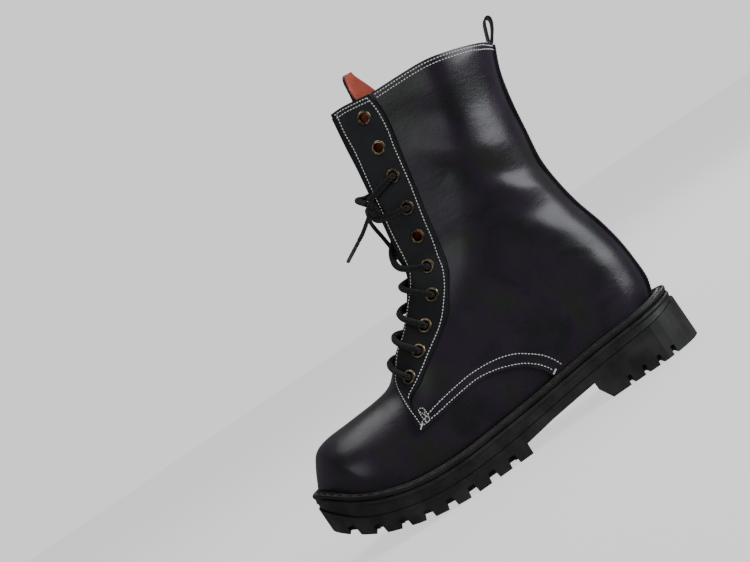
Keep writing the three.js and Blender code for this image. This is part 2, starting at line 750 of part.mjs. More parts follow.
// Strand that starts out of the bottom eyelet of one side and ends out of the top laced one.
function strand(startSide, front) {
  const points = [eyeletPlace(bottomEyelet, startSide, 0), eyeletPlace(bottomEyelet, startSide, overFlange)];
  const rows = eyeletPoints.map((_, i) => i).filter((i) => i >= lacedFrom && i !== skippedEyelet).reverse();
  let side = startSide;
  for (let k = 0; k < rows.length - 1; k += 1) {
    points.push(...crossing(rows[k], rows[k + 1], side, front));
    side = -side;
  }
  return points;
}

function tube(points, radius, sides, steps) {
  const section = new THREE.Shape(Array.from({ length: sides }, (_, i) => {
    const angle = (i / sides) * Math.PI * 2;
    return new THREE.Vector2(Math.cos(angle) * radius, Math.sin(angle) * radius);
  }));
  const path = new THREE.CatmullRomCurve3(points);
  return new THREE.ExtrudeGeometry(section, { steps, bevelEnabled: false, extrudePath: path });
}

// Laced part: knot, down the lateral start, across the bottom eyelets, up the medial start, knot.
function lacedPart() {
  const barEnd = (side) => upperPoint(-42, 104, side, underHeight);
  const barMiddle = upperPoint(-46, 110.4, 1, underHeight).setY(0);
  const bar = [
    eyeletPlace(bottomEyelet, -1, underCurl), barEnd(-1), barMiddle, barEnd(1), eyeletPlace(bottomEyelet,
      1, underCurl),
  ];
  const fromKnot = new THREE.Vector3(...knotCentre).add(new THREE.Vector3(1.2, -1.0, knotRadii[2] + laceGap));
  const aboveKnot = ridgeShare(knotCentre[0], knotCentre[2] + 11);
  const overFront = [edgePlace(aboveKnot, 1, edgeDepth, overHeight), edgePlace(aboveKnot, -1, 0,
    overHeight + 0.8)];
  const intoKnot = new THREE.Vector3(...knotCentre).add(new THREE.Vector3(-1.2, 3.2,
    knotRadii[2] + laceGap - 1.2));
  return [fromKnot, ...strand(-1, frontOuter).reverse(), ...bar, ...strand(1, frontInner), ...overFront,
    intoKnot];
}
add('lace', tube(lacedPart(), laceRadius, 6, 150), materials.lace);

function knot() {
  const geometry = new THREE.SphereGeometry(1, 12, 8);
  geometry.scale(...knotRadii);
  geometry.translate(...knotCentre);
  return geometry;
}
add('lace_knot', knot(), materials.lace);

// Free ends: hand-set routes from the knot to the aglets.
const lateralEnd = [
  [0.7, -18, 211.9], [-0.7, -18.1, 211.1], [-2, -18.2, 210.2], [-3.3, -18.3, 209.3], [-4.6, -18.4, 208.4],
  [-5.8, -18.5, 207.5], [-7, -18.6, 206.6], [-8.2, -18.7, 205.7], [-9.4, -18.8, 204.9], [-10.6, -18.9, 204.1],
  [-11.8, -19, 203.3], [-13.1, -19.1, 202.6], [-14.4, -19.2, 201.9], [-15.7, -19.3, 201.2], [-17, -19.4,
    200.5],
];
const medialEnd = [
  [3.6, -12.2, 217.2], [2.3, -9.4, 217], [1.3, -6.2, 216.3], [0.8, -2.6, 215.2], [0.5, 1.4, 213.8],
  [-0.2, 5.2, 211.9], [-0.8, 8.8, 209.8], [-1, 12.2, 207], [-0.8, 15.4, 203.8], [-0.4, 18.2, 200.2],
  [0.2, 20.6, 196.4], [0.7, 22.5, 192.4], [1.1, 23.9, 188.2], [1.4, 25, 184], [1.6, 25.9, 179.8],
];

// Moulded tip on the end of a route, in line with its last stretch.
function aglet(route) {
  const [before, end] = route.slice(-2).map((point) => new THREE.Vector3(...point));
  const ahead = end.clone().sub(before).normalize();
  const profile = [
    [0, 0.35], [agletRadius, 0.35], [agletRadius, agletLength - 1], [agletRadius * 0.6, agletLength], [0,
      agletLength],
  ].map(([radius, height]) => new THREE.Vector2(radius, height));
  const turn = new THREE.Quaternion().setFromUnitVectors(new THREE.Vector3(0, 1, 0), ahead);
  return placed(new THREE.LatheGeometry(profile, 10), { centre: end, turn });
}

for (const [name, route] of [['lateral', lateralEnd], ['medial', medialEnd]]) {
  add(`lace_end_${name}`, tube(route.map((p) => new THREE.Vector3(...p)), laceRadius, laceSides, 14),
    materials.lace);
  add(`aglet_${name}`, aglet(route), materials.aglet);
}

// ---------- pull loop ----------

// Folded strap, a flattened ring seen from the side, leaning back from its pivot.
function pullLoop() {
  const outer = loopGap / 2 + loopLeather;
  const outline = new THREE.Shape();
  outline.absarc(0, loopReach - outer, outer, 0, Math.PI, false);
  outline.absarc(0, 0, outer * 0.7, Math.PI, Math.PI * 2, false);
  outline.closePath();
  const hole = new THREE.Path();
  hole.absarc(0, loopReach - outer, loopGap / 2, 0, Math.PI, false);
  hole.absarc(0, 3.4, loopGap * 0.32, Math.PI, Math.PI * 2, false);
  hole.closePath();
  outline.holes.push(hole);
  const geometry = new THREE.ExtrudeGeometry(outline, { depth: loopWidth, bevelEnabled: false,
    curveSegments: 8 });
  geometry.rotateX(Math.PI / 2);
  geometry.translate(0, loopWidth / 2, 0);
  geometry.rotateY(loopLean);
  geometry.translate(loopPivot[0], 0, loopPivot[1]);
  return geometry;
}
add('pull_loop', pullLoop(), materials.leather);

export default boot;
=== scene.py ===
"""Left lace-up work boot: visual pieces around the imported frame.

The scene is in metres. The shape maths is in millimetres, in the boot's own frame before SHIFT.
"""
import math

import bmesh
import bpy
import numpy as np
from mathutils import Matrix, Vector


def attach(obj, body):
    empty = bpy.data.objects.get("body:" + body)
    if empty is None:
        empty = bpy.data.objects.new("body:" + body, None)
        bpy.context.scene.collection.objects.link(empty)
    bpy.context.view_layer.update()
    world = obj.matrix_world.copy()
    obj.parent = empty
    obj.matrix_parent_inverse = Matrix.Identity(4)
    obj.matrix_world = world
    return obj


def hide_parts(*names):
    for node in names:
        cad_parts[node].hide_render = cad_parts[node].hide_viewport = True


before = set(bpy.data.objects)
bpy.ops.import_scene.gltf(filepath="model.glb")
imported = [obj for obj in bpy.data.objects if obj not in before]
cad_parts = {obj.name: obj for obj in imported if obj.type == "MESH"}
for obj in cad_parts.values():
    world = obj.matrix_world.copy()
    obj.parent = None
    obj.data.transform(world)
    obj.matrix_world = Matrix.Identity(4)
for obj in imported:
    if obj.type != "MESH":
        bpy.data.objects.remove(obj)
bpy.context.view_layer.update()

MM = 0.001
SHIFT = np.array([-3.4, 0.36, 0.0])
LATERAL, MEDIAL = -1, 1
SIDE_NAMES = {LATERAL: "lateral", MEDIAL: "medial"}

CAMERA_ROLL = math.radians(34.2)
CAMERA_PLACE = (-0.0268, -1.1996, 0.1692)
CAMERA_LENS, CAMERA_SENSOR = 75.7, 36


def metres(points):
    """Points of the shape maths, in mm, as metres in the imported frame."""
    return (np.asarray(points, float) + SHIFT) * MM


# ---------- camera ----------

def make_camera():
    camera = bpy.data.objects.new("camera", bpy.data.cameras.new("camera"))
    bpy.context.scene.collection.objects.link(camera)
    right = Vector((math.cos(CAMERA_ROLL), 0, -math.sin(CAMERA_ROLL)))
    up = Vector((math.sin(CAMERA_ROLL), 0, math.cos(CAMERA_ROLL)))
    turn = Matrix((right, up, right.cross(up))).transposed()
    camera.matrix_world = Matrix.Translation(CAMERA_PLACE) @ turn.to_4x4()
    camera.data.sensor_width = CAMERA_SENSOR
    camera.data.lens = CAMERA_LENS
    camera.data.clip_start = 0.02
    bpy.context.scene.camera = camera


make_camera()


# ---------- curves and tables ----------

class Curve:
    """Catmull-Rom curve through 2-D points, read by knot share or by length share."""

    def __init__(self, points):
        self.points = np.array(points, float)
        self.shares = np.linspace(0, 1, 201)
        steps = np.diff(self.raw(self.shares), axis=0)
        self.lengths = np.concatenate([[0], np.cumsum(np.hypot(steps[:, 0], steps[:, 1]))])

    def coefficients(self, share):
        last = len(self.points) - 1
        place = np.clip(share, 0, 1) * last
        knot = np.floor(place).astype(int)
        ahead = (place - knot)[..., None]
        before, start = self.points[np.maximum(knot - 1, 0)], self.points[knot]
        end, after = self.points[np.minimum(knot + 1, last)], self.points[np.minimum(knot + 2, last)]
        v0, v1 = (end - before) / 2, (after - start) / 2
        cubic = 2 * start - 2 * end + v0 + v1
        square = -3 * start + 3 * end - 2 * v0 - v1
        return ahead, cubic, square, v0, start

    def raw(self, share):
        t, cubic, square, linear, start = self.coefficients(np.asarray(share, float))
        return ((cubic * t + square) * t + linear) * t + start

    def slope(self, share):
        t, cubic, square, linear, _ = self.coefficients(np.asarray(share, float))
        return (3 * cubic * t + 2 * square) * t + linear

    def to_raw(self, share):
        return np.interp(np.asarray(share, float) * self.lengths[-1], self.lengths, self.shares)

    def at(self, share):
        return self.raw(self.to_raw(share))

    def tangent(self, share):
        slope = self.slope(self.to_raw(share))
        return slope / np.linalg.norm(slope, axis=-1, keepdims=True)


class Joined:
    """Curves end to end, read by length share."""

    def __init__(self, *curves):
        self.curves = curves
        self.lengths = np.cumsum([0] + [curve.lengths[-1] for curve in curves])

    def at(self, share):
        place = np.asarray(share, float) * self.lengths[-1]
        result = np.zeros(place.shape + (2,))
        for curve, start, end in zip(self.curves, self.lengths, self.lengths[1:]):
            here = (place >= start - 1e-9) & (place <= end + 1e-9)
            result[here] = curve.at((place[here] - start) / (end - start))
        return result


def smooth_table(rows, column=1):
    points = Curve([(row[0], row[column]) for row in rows]).raw(np.linspace(0, 1, len(rows) * 6 + 1))
    return points[:, 0], points[:, 1]


def ramp(value, low, high):
    share = np.clip((np.asarray(value, float) - low) / (high - low), 0, 1)
    return share * share * (3 - 2 * share)


def mix(a, b, share):
    return a + (b - a) * share


def dome(share):
    return np.where(np.asarray(share) >= 1, 1, 1 - (1 - np.asarray(share)) ** 2)


def smooth_minimum(a, b, blend):
    overlap = np.maximum(blend - np.abs(a - b), 0) / blend
    return np.minimum(a, b) - overlap * overlap * blend * 0.25


# ---------- outlines and tables of the boot ----------

RIDGE = [
    (-149.6, 61), (-147, 66), (-141, 77), (-134, 86), (-122, 90), (-100, 91.5), (-74, 93.5), (-60, 97),
    (-51, 104.5), (-40, 117), (-24, 132), (-12, 146), (-4, 159), (1, 183), (5.5, 210), (11, 245), (16, 292),
]
BACK = [
    (140.5, 43), (145, 56), (145, 72), (143.6, 90), (139.8, 110), (133.9, 131), (130, 153), (128.6, 175),
    (131.8, 200), (135.4, 225), (141, 249), (149.6, 269),
]
TOPLINE = [
    (18, 291), (32, 290.5), (52, 286.5), (75, 285), (96, 283), (116, 278.5), (136, 273), (149.6, 269),
]
FEATHER = [
    (-149.6, 61), (-143, 57.6), (-136, 53.5), (-127, 48), (-107, 39), (-79, 31.6), (-45, 29.4), (-10, 30.9),
    (26, 33.4), (82, 38.8), (123, 41.5), (140.5, 43),
]
FACING_FRONT = [
    (-57.6, 58), (-57.4, 77), (-53, 94), (-44.5, 107), (-34, 116.5), (-18.5, 130), (-7, 145), (1.5, 158.5),
    (5.5, 183), (10, 210), (15.5, 245), (18, 266), (21.5, 291),
]
FACING_REAR = [
    (-54, 58.6), (-54.2, 72), (-50, 81), (-39, 86), (-29, 93), (-11, 104.5), (7, 117), (15, 127), (28, 147),
    (33.5, 170), (38.7, 196.5), (46, 230), (51.5, 257), (53.5, 273), (52.5, 286.4),
]
LINING_FRONT = [
    (-57.6, 58), (-56, 74), (-46, 86), (-29, 96.5), (-9, 108), (7, 120), (17, 131), (26, 148), (32, 172),
    (38, 200), (45, 232), (49, 258), (50.5, 275), (50, 286.7),
]
SEAM = [
    (-57.6, 58), (-39, 60.5), (-13, 64.5), (0, 65), (12, 63), (22, 59.5), (31, 55), (38.5, 48.5), (43, 43),
    (45.6, 35.2),
]
VAMP_REAR = [
    (54, 36), (51, 45), (44, 56), (33, 65), (18, 72), (0, 75), (-20, 75), (-40, 73), (-47, 80), (-48, 92),
    (-50, 106),
]
VAMP_LINING_REAR = [
    (40, 34.6), (32, 46), (17, 55.5), (0, 60), (-39, 56), (-64, 54.5), (-63.5, 78), (-62, 96.3),
]
EYELETS = [
    (39.5, 274), (36, 249.5), (33, 226), (28.5, 200.5), (23, 178.5), (16.5, 155.5), (7, 135.5),
    (-10.5, 119), (-25, 106), (-41, 94),
]
UPPER_WIDTHS = [
    (-152, 47, 45), (-110, 48.5, 47), (-75, 48.5, 46), (-40, 46, 39), (0, 40, 31), (40, 35.5, 29),
    (80, 33, 31), (110, 33, 33), (146, 33, 33),
]
SOLE_WIDTHS = [
    (-157, 54, 53), (-110, 56, 52.5), (-75, 57, 54.5), (-40, 56, 47), (0, 49, 38), (40, 44, 36),
    (80, 41, 38), (115, 40, 40), (157, 40, 40),
]
SHAFT_WIDTHS = [(40, 33), (110, 34), (140, 35), (180, 39), (230, 44), (292, 47)]
CENTRE_SHIFT = [(-157, 9), (-110, 4), (-75, 1), (-40, 0), (157, 0)]
ARCH_HEIGHTS = [(-150, 24), (-120, 38), (-80, 52), (-50, 58)]
BACK_ROUNDS = [(43, 38), (110, 42), (180, 50), (290, 62)]
WALL_TOP = [
    (-157, 50), (-139, 37), (-127, 29.5), (-103, 21.8), (-73, 15.8), (-40, 14.6), (-5, 16.2), (32, 20),
    (69, 24), (106, 27), (131, 29.2), (157, 34),
]
UPPER_LIFT = 0.4
TOE_TIP, TOE_DOME = -152, 55
NORMAL_STEP = 0.6
RIDGE_STEPS = 160
NOSE_RADIUS, NOSE_SPREAD = 16, math.radians(22)
TOE_REACH, HEEL_REACH, TOE_ROUND, HEEL_ROUND = -157, 157, 62, 44

ridge = Curve(RIDGE)
ridge_shares = ridge.to_raw(np.linspace(0, 1, RIDGE_STEPS + 1))
ridge_track = ridge.raw(ridge_shares)
back_table = smooth_table([(z, x) for x, z in BACK])
upper_tables = {LATERAL: smooth_table(UPPER_WIDTHS, 1), MEDIAL: smooth_table(UPPER_WIDTHS, 2)}
sole_tables = {LATERAL: smooth_table(SOLE_WIDTHS, 1), MEDIAL: smooth_table(SOLE_WIDTHS, 2)}
shaft_table = smooth_table(SHAFT_WIDTHS)
shift_table = smooth_table(CENTRE_SHIFT)
feather_table = smooth_table([(-157, 65), *FEATHER, (157, 44.5)])
wall_table = smooth_table(WALL_TOP)
arch_table = tuple(np.array(ARCH_HEIGHTS, float).T)
round_table = tuple(np.array(BACK_ROUNDS, float).T)


def centre_line(x):
    return np.interp(x, *shift_table)


def welt_top(x):
    return np.interp(x, *feather_table)


def wall_top(x):
    return np.interp(x, *wall_table)


def sole_edge(x, side, inset=0.0):
    ends = dome((x - TOE_REACH - inset) / TOE_ROUND) * dome((HEEL_REACH - inset - x) / HEEL_ROUND)
    return centre_line(x) + side * (np.interp(x, *sole_tables[side]) - inset) * np.sqrt(np.maximum(ends, 0))


# ---------- the upper's outer surface ----------

def ridge_depth(x, z):
    """Distance inwards from the ridge, from the nearest place on the true curve."""
    query = np.stack([x, z], -1)
    away = ((query[:, None] - ridge_track[None]) ** 2).sum(-1)
    share = ridge_shares[away.argmin(1)]
    for _ in range(3):
        gap = query - ridge.raw(share)
        slope = ridge.slope(share)
        share = np.clip(share + (gap * slope).sum(1) / (slope ** 2).sum(1) / (len(RIDGE) - 1), 0, 1)
    gap = query - ridge.raw(share)
    slope = ridge.slope(share)
    inwards = gap[:, 0] * slope[:, 1] - gap[:, 1] * slope[:, 0]
    return np.hypot(gap[:, 0], gap[:, 1]) * np.where(inwards >= 0, 1, -1)


def nose_squared(depth):
    tangent = NOSE_RADIUS * (1 - math.sin(NOSE_SPREAD))
    flank = (NOSE_RADIUS * math.cos(NOSE_SPREAD) + (depth - tangent) * math.tan(NOSE_SPREAD)) ** 2
    return np.where(depth < tangent, depth * (2 * NOSE_RADIUS - depth), flank)


def width_squared(x, z, side):
    depth = ridge_depth(x, z)
    foot = np.where(side < 0, np.interp(x, *upper_tables[LATERAL]), np.interp(x, *upper_tables[MEDIAL]))
    shaft_share = ramp(z, 60, 140) * ramp(x, -60, 10)
    limit = mix(foot ** 2 * dome((x - TOE_TIP) / TOE_DOME), np.interp(z, *shaft_table) ** 2, shaft_share)
    back = limit * dome((np.interp(z, *back_table) - x) / np.interp(z, *round_table))
    arch = limit * dome(depth / np.interp(x, *arch_table))
    front = mix(arch, nose_squared(depth), ramp(z, 95, 165))
    return smooth_minimum(back, front, mix(1, 400, ramp(x, -90, -30)))


def surface(x, z, side):
    """Points on the vamp's outer face and outward normals, for arrays of side-view places."""
    shape = np.shape(x)
    x, z, side = (np.ravel(np.broadcast_to(v, shape)).astype(float) for v in (x, z, side))
    half = np.sqrt(np.maximum(width_squared(x, z, side), 0))
    y = centre_line(x) + side * half
    step = NORMAL_STEP

    def level(dx, dz):
        return width_squared(x + dx, z + dz, side) - (y - centre_line(x + dx)) ** 2

    normal = np.stack([
        level(-step, 0) - level(step, 0), 4 * step * (y - centre_line(x)), level(0, -step) - level(0, step),
    ], -1)
    normal /= np.linalg.norm(normal, axis=1, keepdims=True)
    return np.stack([x, y, z], -1).reshape(shape + (3,)), normal.reshape(shape + (3,))


def patch(bottom, top, front, rear):
    """Four-sided patch of the side view between its bottom, top, front and rear curves."""
    f0, f1, r0, r1 = front.at(0.0), front.at(1.0), rear.at(0.0), rear.at(1.0)

    def place(s, t):
        s, t = np.broadcast_arrays(np.asarray(s, float), np.asarray(t, float))
        a, b = s[..., None], t[..., None]
        edges = (1 - b) * bottom.at(s) + b * top.at(s) + (1 - a) * front.at(t) + a * rear.at(t)
        corners = (1 - a) * (1 - b) * f0 + a * (1 - b) * r0 + (1 - a) * b * f1 + a * b * r1
        return edges - corners
    return place


def shares(count, edge=0.0022):
    """Even shares with two extra ones close to each end, for a rounded cut edge."""
    inner = np.linspace(3 * edge, 1 - 3 * edge, count)
    return np.concatenate([[0, edge], inner, [1 - edge, 1]])


# ---------- mesh helpers ----------

def new_object(name, points, faces, material, uvs=None):
    mesh = bpy.data.meshes.new(name)
    mesh.from_pydata(metres(points).tolist(), [], faces)
    mesh.validate()
    mesh.materials.append(material)
    mesh.polygons.foreach_set("use_smooth", [True] * len(mesh.polygons))
    if uvs is not None:
        layer = mesh.uv_layers.new(name="along")
        corners = np.zeros(len(mesh.loops), int)
        mesh.loops.foreach_get("vertex_index", corners)
        layer.data.foreach_set("uv", np.asarray(uvs, float)[corners].ravel())
    obj = bpy.data.objects.new(name, mesh)
    bpy.context.scene.collection.objects.link(obj)
    bm = bmesh.new()
    bm.from_mesh(mesh)
    bmesh.ops.recalc_face_normals(bm, faces=bm.faces)
    bm.to_mesh(mesh)
    bm.free()
    return obj


def sharpen(obj, degrees=40):
    obj.data.set_sharp_from_angle(angle=math.radians(degrees))


def solid_faces(rows, columns):
    """Faces of two matching grids, far then near, and the rim between them."""
    def at(layer, i, j):
        return layer * rows * columns + i * columns + j
    faces = []
    for i in range(rows - 1):
        for j in range(columns - 1):
            faces.append((at(0, i, j), at(0, i + 1, j), at(0, i + 1, j + 1), at(0, i, j + 1)))
            faces.append((at(1, i, j), at(1, i, j + 1), at(1, i + 1, j + 1), at(1, i + 1, j)))
    for i in range(rows - 1):
        faces.append((at(0, i, 0), at(1, i, 0), at(1, i + 1, 0), at(0, i + 1, 0)))
        faces.append((at(0, i + 1, columns - 1), at(1, i + 1, columns - 1), at(1, i, columns - 1),
                      at(0, i, columns - 1)))
    for j in range(columns - 1):
        faces.append((at(0, 0, j + 1), at(1, 0, j + 1), at(1, 0, j), at(0, 0, j)))
        faces.append((at(0, rows - 1, j), at(1, rows - 1, j), at(1, rows - 1, j + 1), at(0, rows - 1, j + 1)))
    return faces


def relaxed(grid, turns=4):
    """Grid with its inside points smoothed, which takes small creases out of the surface maths."""
    for _ in range(turns):
        inside = grid[1:-1, 1:-1] * 4 + grid[:-2, 1:-1] + grid[2:, 1:-1] + grid[1:-1, :-2] + grid[1:-1, 2:]
        grid = grid.copy()
        grid[1:-1, 1:-1] = inside / 8
    return grid


def leather_sheet(name, places, layer, material, split=0.0, folds=None, edge_drop=0.35):
    """Closed sheet over a grid of side-view places (x, z, side) between two distances from the surface."""
    x, z, side = places
    points, normals = surface(x, z, side)
    points = relaxed(points)
    normals = relaxed(normals)
    normals /= np.linalg.norm(normals, axis=-1, keepdims=True)
    points[..., 1] += side * split
    near, far = (np.full(x.shape, float(reach)) for reach in layer)
    for edge in (np.s_[0, :], np.s_[-1, :], np.s_[:, 0], np.s_[:, -1]):
        far[edge] = layer[1] - edge_drop
    wave = folds(points, side) if folds else 0
    outer = points + normals * (far + wave)[..., None]
    inner = points + normals * (near + wave)[..., None]
    for grid in (outer, inner):
        grid[..., 2] = np.maximum(grid[..., 2], welt_top(grid[..., 0]) + UPPER_LIFT)
    rows, columns = x.shape
    obj = new_object(name, np.concatenate([outer.reshape(-1, 3), inner.reshape(-1, 3)]),
                     solid_faces(rows, columns), material)
    sharpen(obj, 60)
    return obj


def tube_mesh(name, points, radius_at, material, sides=12):
    """Tube along 3-D points with a radius that may change along and around it; returns a closed mesh."""
    points = np.asarray(points, float)
    ahead = np.gradient(points, axis=0)
    ahead /= np.linalg.norm(ahead, axis=1, keepdims=True)
    along = np.concatenate([[0], np.cumsum(np.linalg.norm(np.diff(points, axis=0), axis=1))])
    normal = np.cross(ahead[0], [0.3, 1, 0.2])
    rings, uvs = [], []
    turn = np.linspace(0, 2 * math.pi, sides, endpoint=False)
    for i, place in enumerate(points):
        normal = normal - ahead[i] * normal.dot(ahead[i])
        normal /= np.linalg.norm(normal)
        binormal = np.cross(ahead[i], normal)
        radius = radius_at(along[i], turn)
        rings.append(place + (np.cos(turn) * radius)[:, None] * normal
                     + (np.sin(turn) * radius)[:, None] * binormal)
        uvs.append(np.stack([np.full(sides, along[i]), turn / (2 * math.pi)], -1))
    count = len(points)
    faces = [
        (i * sides + j, i * sides + (j + 1) % sides, (i + 1) * sides + (j + 1) % sides, (i + 1) * sides + j)
        for i in range(count - 1) for j in range(sides)
    ]
    faces.append(tuple(range(sides)))
    faces.append(tuple((count - 1) * sides + j for j in reversed(range(sides))))
    return new_object(name, np.concatenate(rings), faces, material, np.concatenate(uvs))


def spline3(points, step):
    """Centripetal curve through 3-D points, sampled about every step mm."""
    points = [np.array(p, float) for p in points]
    points = [2 * points[0] - points[1], *points, 2 * points[-1] - points[-2]]
    result = []
    for p0, p1, p2, p3 in zip(points, points[1:], points[2:], points[3:]):
        d0, d1, d2 = (max(np.linalg.norm(b - a), 1e-4) ** 0.5 for a, b in ((p0, p1), (p1, p2), (p2, p3)))
        m1 = ((p1 - p0) / d0 - (p2 - p0) / (d0 + d1) + (p2 - p1) / d1) * d1
        m2 = ((p2 - p1) / d1 - (p3 - p1) / (d1 + d2) + (p3 - p2) / d2) * d1
        count = max(2, int(np.linalg.norm(p2 - p1) / step))
        for t in np.linspace(0, 1, count, endpoint=False):
            result.append((2 * p1 - 2 * p2 + m1 + m2) * t ** 3 + (-3 * p1 + 3 * p2 - 2 * m1 - m2) * t ** 2
                          + m1 * t + p1)
    result.append(points[-2])
    return np.array(result)


def lathe(name, profile, centre, axis, material, sides=36, closed=True):
    """Ring or turned piece from (radius, height) pairs about an axis."""
    axis = np.array(axis, float) / np.linalg.norm(axis)
    first = np.cross(axis, [0.2, 0.1, 1.0])
    first /= np.linalg.norm(first)
    second = np.cross(axis, first)
    turn = np.linspace(0, 2 * math.pi, sides, endpoint=False)
    spokes = np.cos(turn)[:, None] * first + np.sin(turn)[:, None] * second
    rings = [np.array(centre) + spokes * radius + axis * height for radius, height in profile]
    points = np.concatenate(rings)
    count = len(profile)
    faces = [(i * sides + j, i * sides + (j + 1) % sides,
              (i + 1) % count * sides + (j + 1) % sides, (i + 1) % count * sides + j)
             for i in range(count if closed else count - 1) for j in range(sides)]
    if not closed:
        faces.append(tuple(range(sides)))
        faces.append(tuple((count - 1) * sides + j for j in reversed(range(sides))))
    return new_object(name, points, faces, material)


# ---------- materials ----------

BRAID_TWIST, BRAID_STRANDS = 2.6, 4


class Shade:
    """Principled material with a few short calls for its nodes."""

    def __init__(self, name, **sockets):
        self.material = bpy.data.materials.new(name)
        self.material.use_nodes = True
        self.tree = self.material.node_tree
        self.shader = self.tree.nodes["Principled BSDF"]
        for socket, value in sockets.items():
            self.shader.inputs[socket.replace("_", " ")].default_value = value
        self.place = self.node("ShaderNodeTexCoord").outputs["Object"]
        self.height = None

    def node(self, kind, inputs=(), **settings):
        made = self.tree.nodes.new(kind)
        for key, value in settings.items():
            setattr(made, key, value)
        for key, value in dict(inputs).items():
            if hasattr(value, "is_linked"):
                self.tree.links.new(value, made.inputs[key])
            else:
                made.inputs[key].default_value = value
        return made

    def noise(self, scale, detail=3.0, stretch=(1, 1, 1), distortion=0.0):
        mapped = self.node("ShaderNodeMapping", {"Vector": self.place, "Scale": stretch})
        inputs = {"Vector": mapped.outputs[0], "Scale": scale, "Detail": detail, "Distortion": distortion}
        return self.node("ShaderNodeTexNoise", inputs).outputs[0]

    def cells(self, scale):
        inputs = {"Vector": self.place, "Scale": scale}
        return self.node("ShaderNodeTexVoronoi", inputs, feature="DISTANCE_TO_EDGE").outputs["Distance"]

    def steps(self, value, *stops):
        band = self.node("ShaderNodeValToRGB", {"Fac": value})
        elements = band.color_ramp.elements
        while len(elements) < len(stops):
            elements.new(0.5)
        for element, (position, colour) in zip(elements, stops):
            element.position = position
            element.color = (*colour, 1) if hasattr(colour, "__len__") else (colour, colour, colour, 1)
        return band.outputs[0]

    def math(self, operation, first, second=0.0):
        return self.node("ShaderNodeMath", {0: first, 1: second}, operation=operation).outputs[0]

    def blend(self, share, first, second):
        return self.node("ShaderNodeMixRGB", {"Fac": share, "Color1": first, "Color2": second}).outputs[0]

    def set(self, socket, value):
        self.tree.links.new(value, self.shader.inputs[socket])
        return self

    def bump(self, value, distance, strength=1.0):
        inputs = {"Height": value, "Distance": distance, "Strength": strength}
        if self.height is not None:
            inputs["Normal"] = self.height
        self.height = self.node("ShaderNodeBump", inputs).outputs[0]
        self.tree.links.new(self.height, self.shader.inputs["Normal"])
        return self


def polished_leather(name, base, sheen_warm, sheen_cool, rough=(0.28, 0.37), shine=0.45, coat=0.3):
    """Polished smooth leather: painted sheen as tinted patches in the base colour, fine pores, soft creases,
    a waxed coat.
    """
    shade = Shade(name, Specular_IOR_Level=shine, Coat_Weight=coat, Coat_Roughness=0.24, Coat_IOR=1.45)
    # Random tinted patches in the base colour stand for coloured reflections: painted sheen.
    sheen_clouds = shade.noise(22, 4.0, distortion=0.6)
    painted_sheen_tint = shade.steps(sheen_clouds, (0.36, base), (0.5, sheen_warm), (0.62, sheen_cool))
    pores = shade.cells(900)
    creases = shade.noise(85, 6.0, (1.0, 1.0, 2.0), distortion=0.8)
    shade.set("Base Color", shade.blend(0.75, (*base, 1), painted_sheen_tint))
    shade.set("Roughness", shade.steps(shade.noise(60, 5.0), (0.35, rough[0]), (0.68, rough[1])))
    shade.bump(shade.steps(pores, (0.0, 0.0), (0.25, 1.0)), 0.00004, 0.6)
    shade.bump(creases, 0.0011, 0.2)
    return shade.material


def from_noises(name, tone, finish, *grains, **sockets):
    """Material whose colour and roughness each follow a noise, with one or more noises as bumps."""
    shade = Shade(name, **sockets)
    shade.set("Base Color", shade.steps(shade.noise(*tone[0]), *tone[1:]))
    shade.set("Roughness", shade.steps(shade.noise(*finish[0]), *finish[1:]))
    for grain, distance, strength in grains:
        shade.bump(shade.noise(*grain), distance, strength)
    return shade.material


def rubber(name, base, dust):
    """Moulded rubber: faint mottling with dust in random patches, a fine matt grain."""
    return from_noises(name, ((45, 5.0), (0.42, base), (0.72, dust)), ((110, 4.0), (0.3, 0.42), (0.7, 0.6)),
                       ((1600, 2.0), 0.00006, 0.5), ((90, 3.0), 0.0005, 0.12), Specular_IOR_Level=0.4)


def brass():
    """Antique brass: bright worn metal and brown tarnish in random patches."""
    tones = (0.36, (0.06, 0.042, 0.026)), (0.52, (0.2, 0.15, 0.09)), (0.68, (0.42, 0.35, 0.24))
    return from_noises("antique_brass", ((260, 5.0), *tones), ((260, 5.0), (0.35, 0.5), (0.65, 0.26)),
                       ((900, 3.0), 0.00005, 0.6), Metallic=1.0)


def braid():
    """Woven lace yarn: two crossing sets of strands from the tube's own UVs, with painted shade between the
    raised strands.
    """
    shade = Shade("lace_yarn", Specular_IOR_Level=0.2, Sheen_Weight=0.08, Sheen_Roughness=0.5)
    uv = shade.node("ShaderNodeUVMap", uv_map="along").outputs[0]
    split = shade.node("ShaderNodeSeparateXYZ", {0: uv})
    twist = shade.math("MULTIPLY", split.outputs[0], BRAID_TWIST)
    around = shade.math("MULTIPLY", split.outputs[1], 2 * math.pi * BRAID_STRANDS)
    one = shade.math("SINE", shade.math("ADD", twist, around))
    other = shade.math("SINE", shade.math("SUBTRACT", twist, around))
    weave = shade.math("MAXIMUM", one, other)
    fuzz = shade.noise(1400, 3.0)
    # Base colour darker where the weave is low, between the strands: painted shade.
    shade.set("Base Color", shade.steps(shade.math("ADD", weave, fuzz), (0.45, (0.002, 0.002, 0.0025)),
                                        (0.95, (0.012, 0.012, 0.012))))
    shade.set("Roughness", shade.steps(fuzz, (0.3, 0.7), (0.7, 0.92)))
    shade.bump(weave, 0.0003, 0.5)
    shade.bump(fuzz, 0.0001, 0.5)
    return shade.material


def thread(name, base, shadow):
    """Twisted sewing thread with painted shade darkening the gaps between its plies."""
    plies = (2600, 2.0)
    # The shadow tone sits where the plies noise is low, as in the bump: painted shade in the gaps.
    return from_noises(name, (plies, (0.32, shadow), (0.55, base)), (plies, (0.3, 0.62), (0.7, 0.8)),
                       (plies, 0.0001, 0.6), Specular_IOR_Level=0.3, Sheen_Weight=0.2)


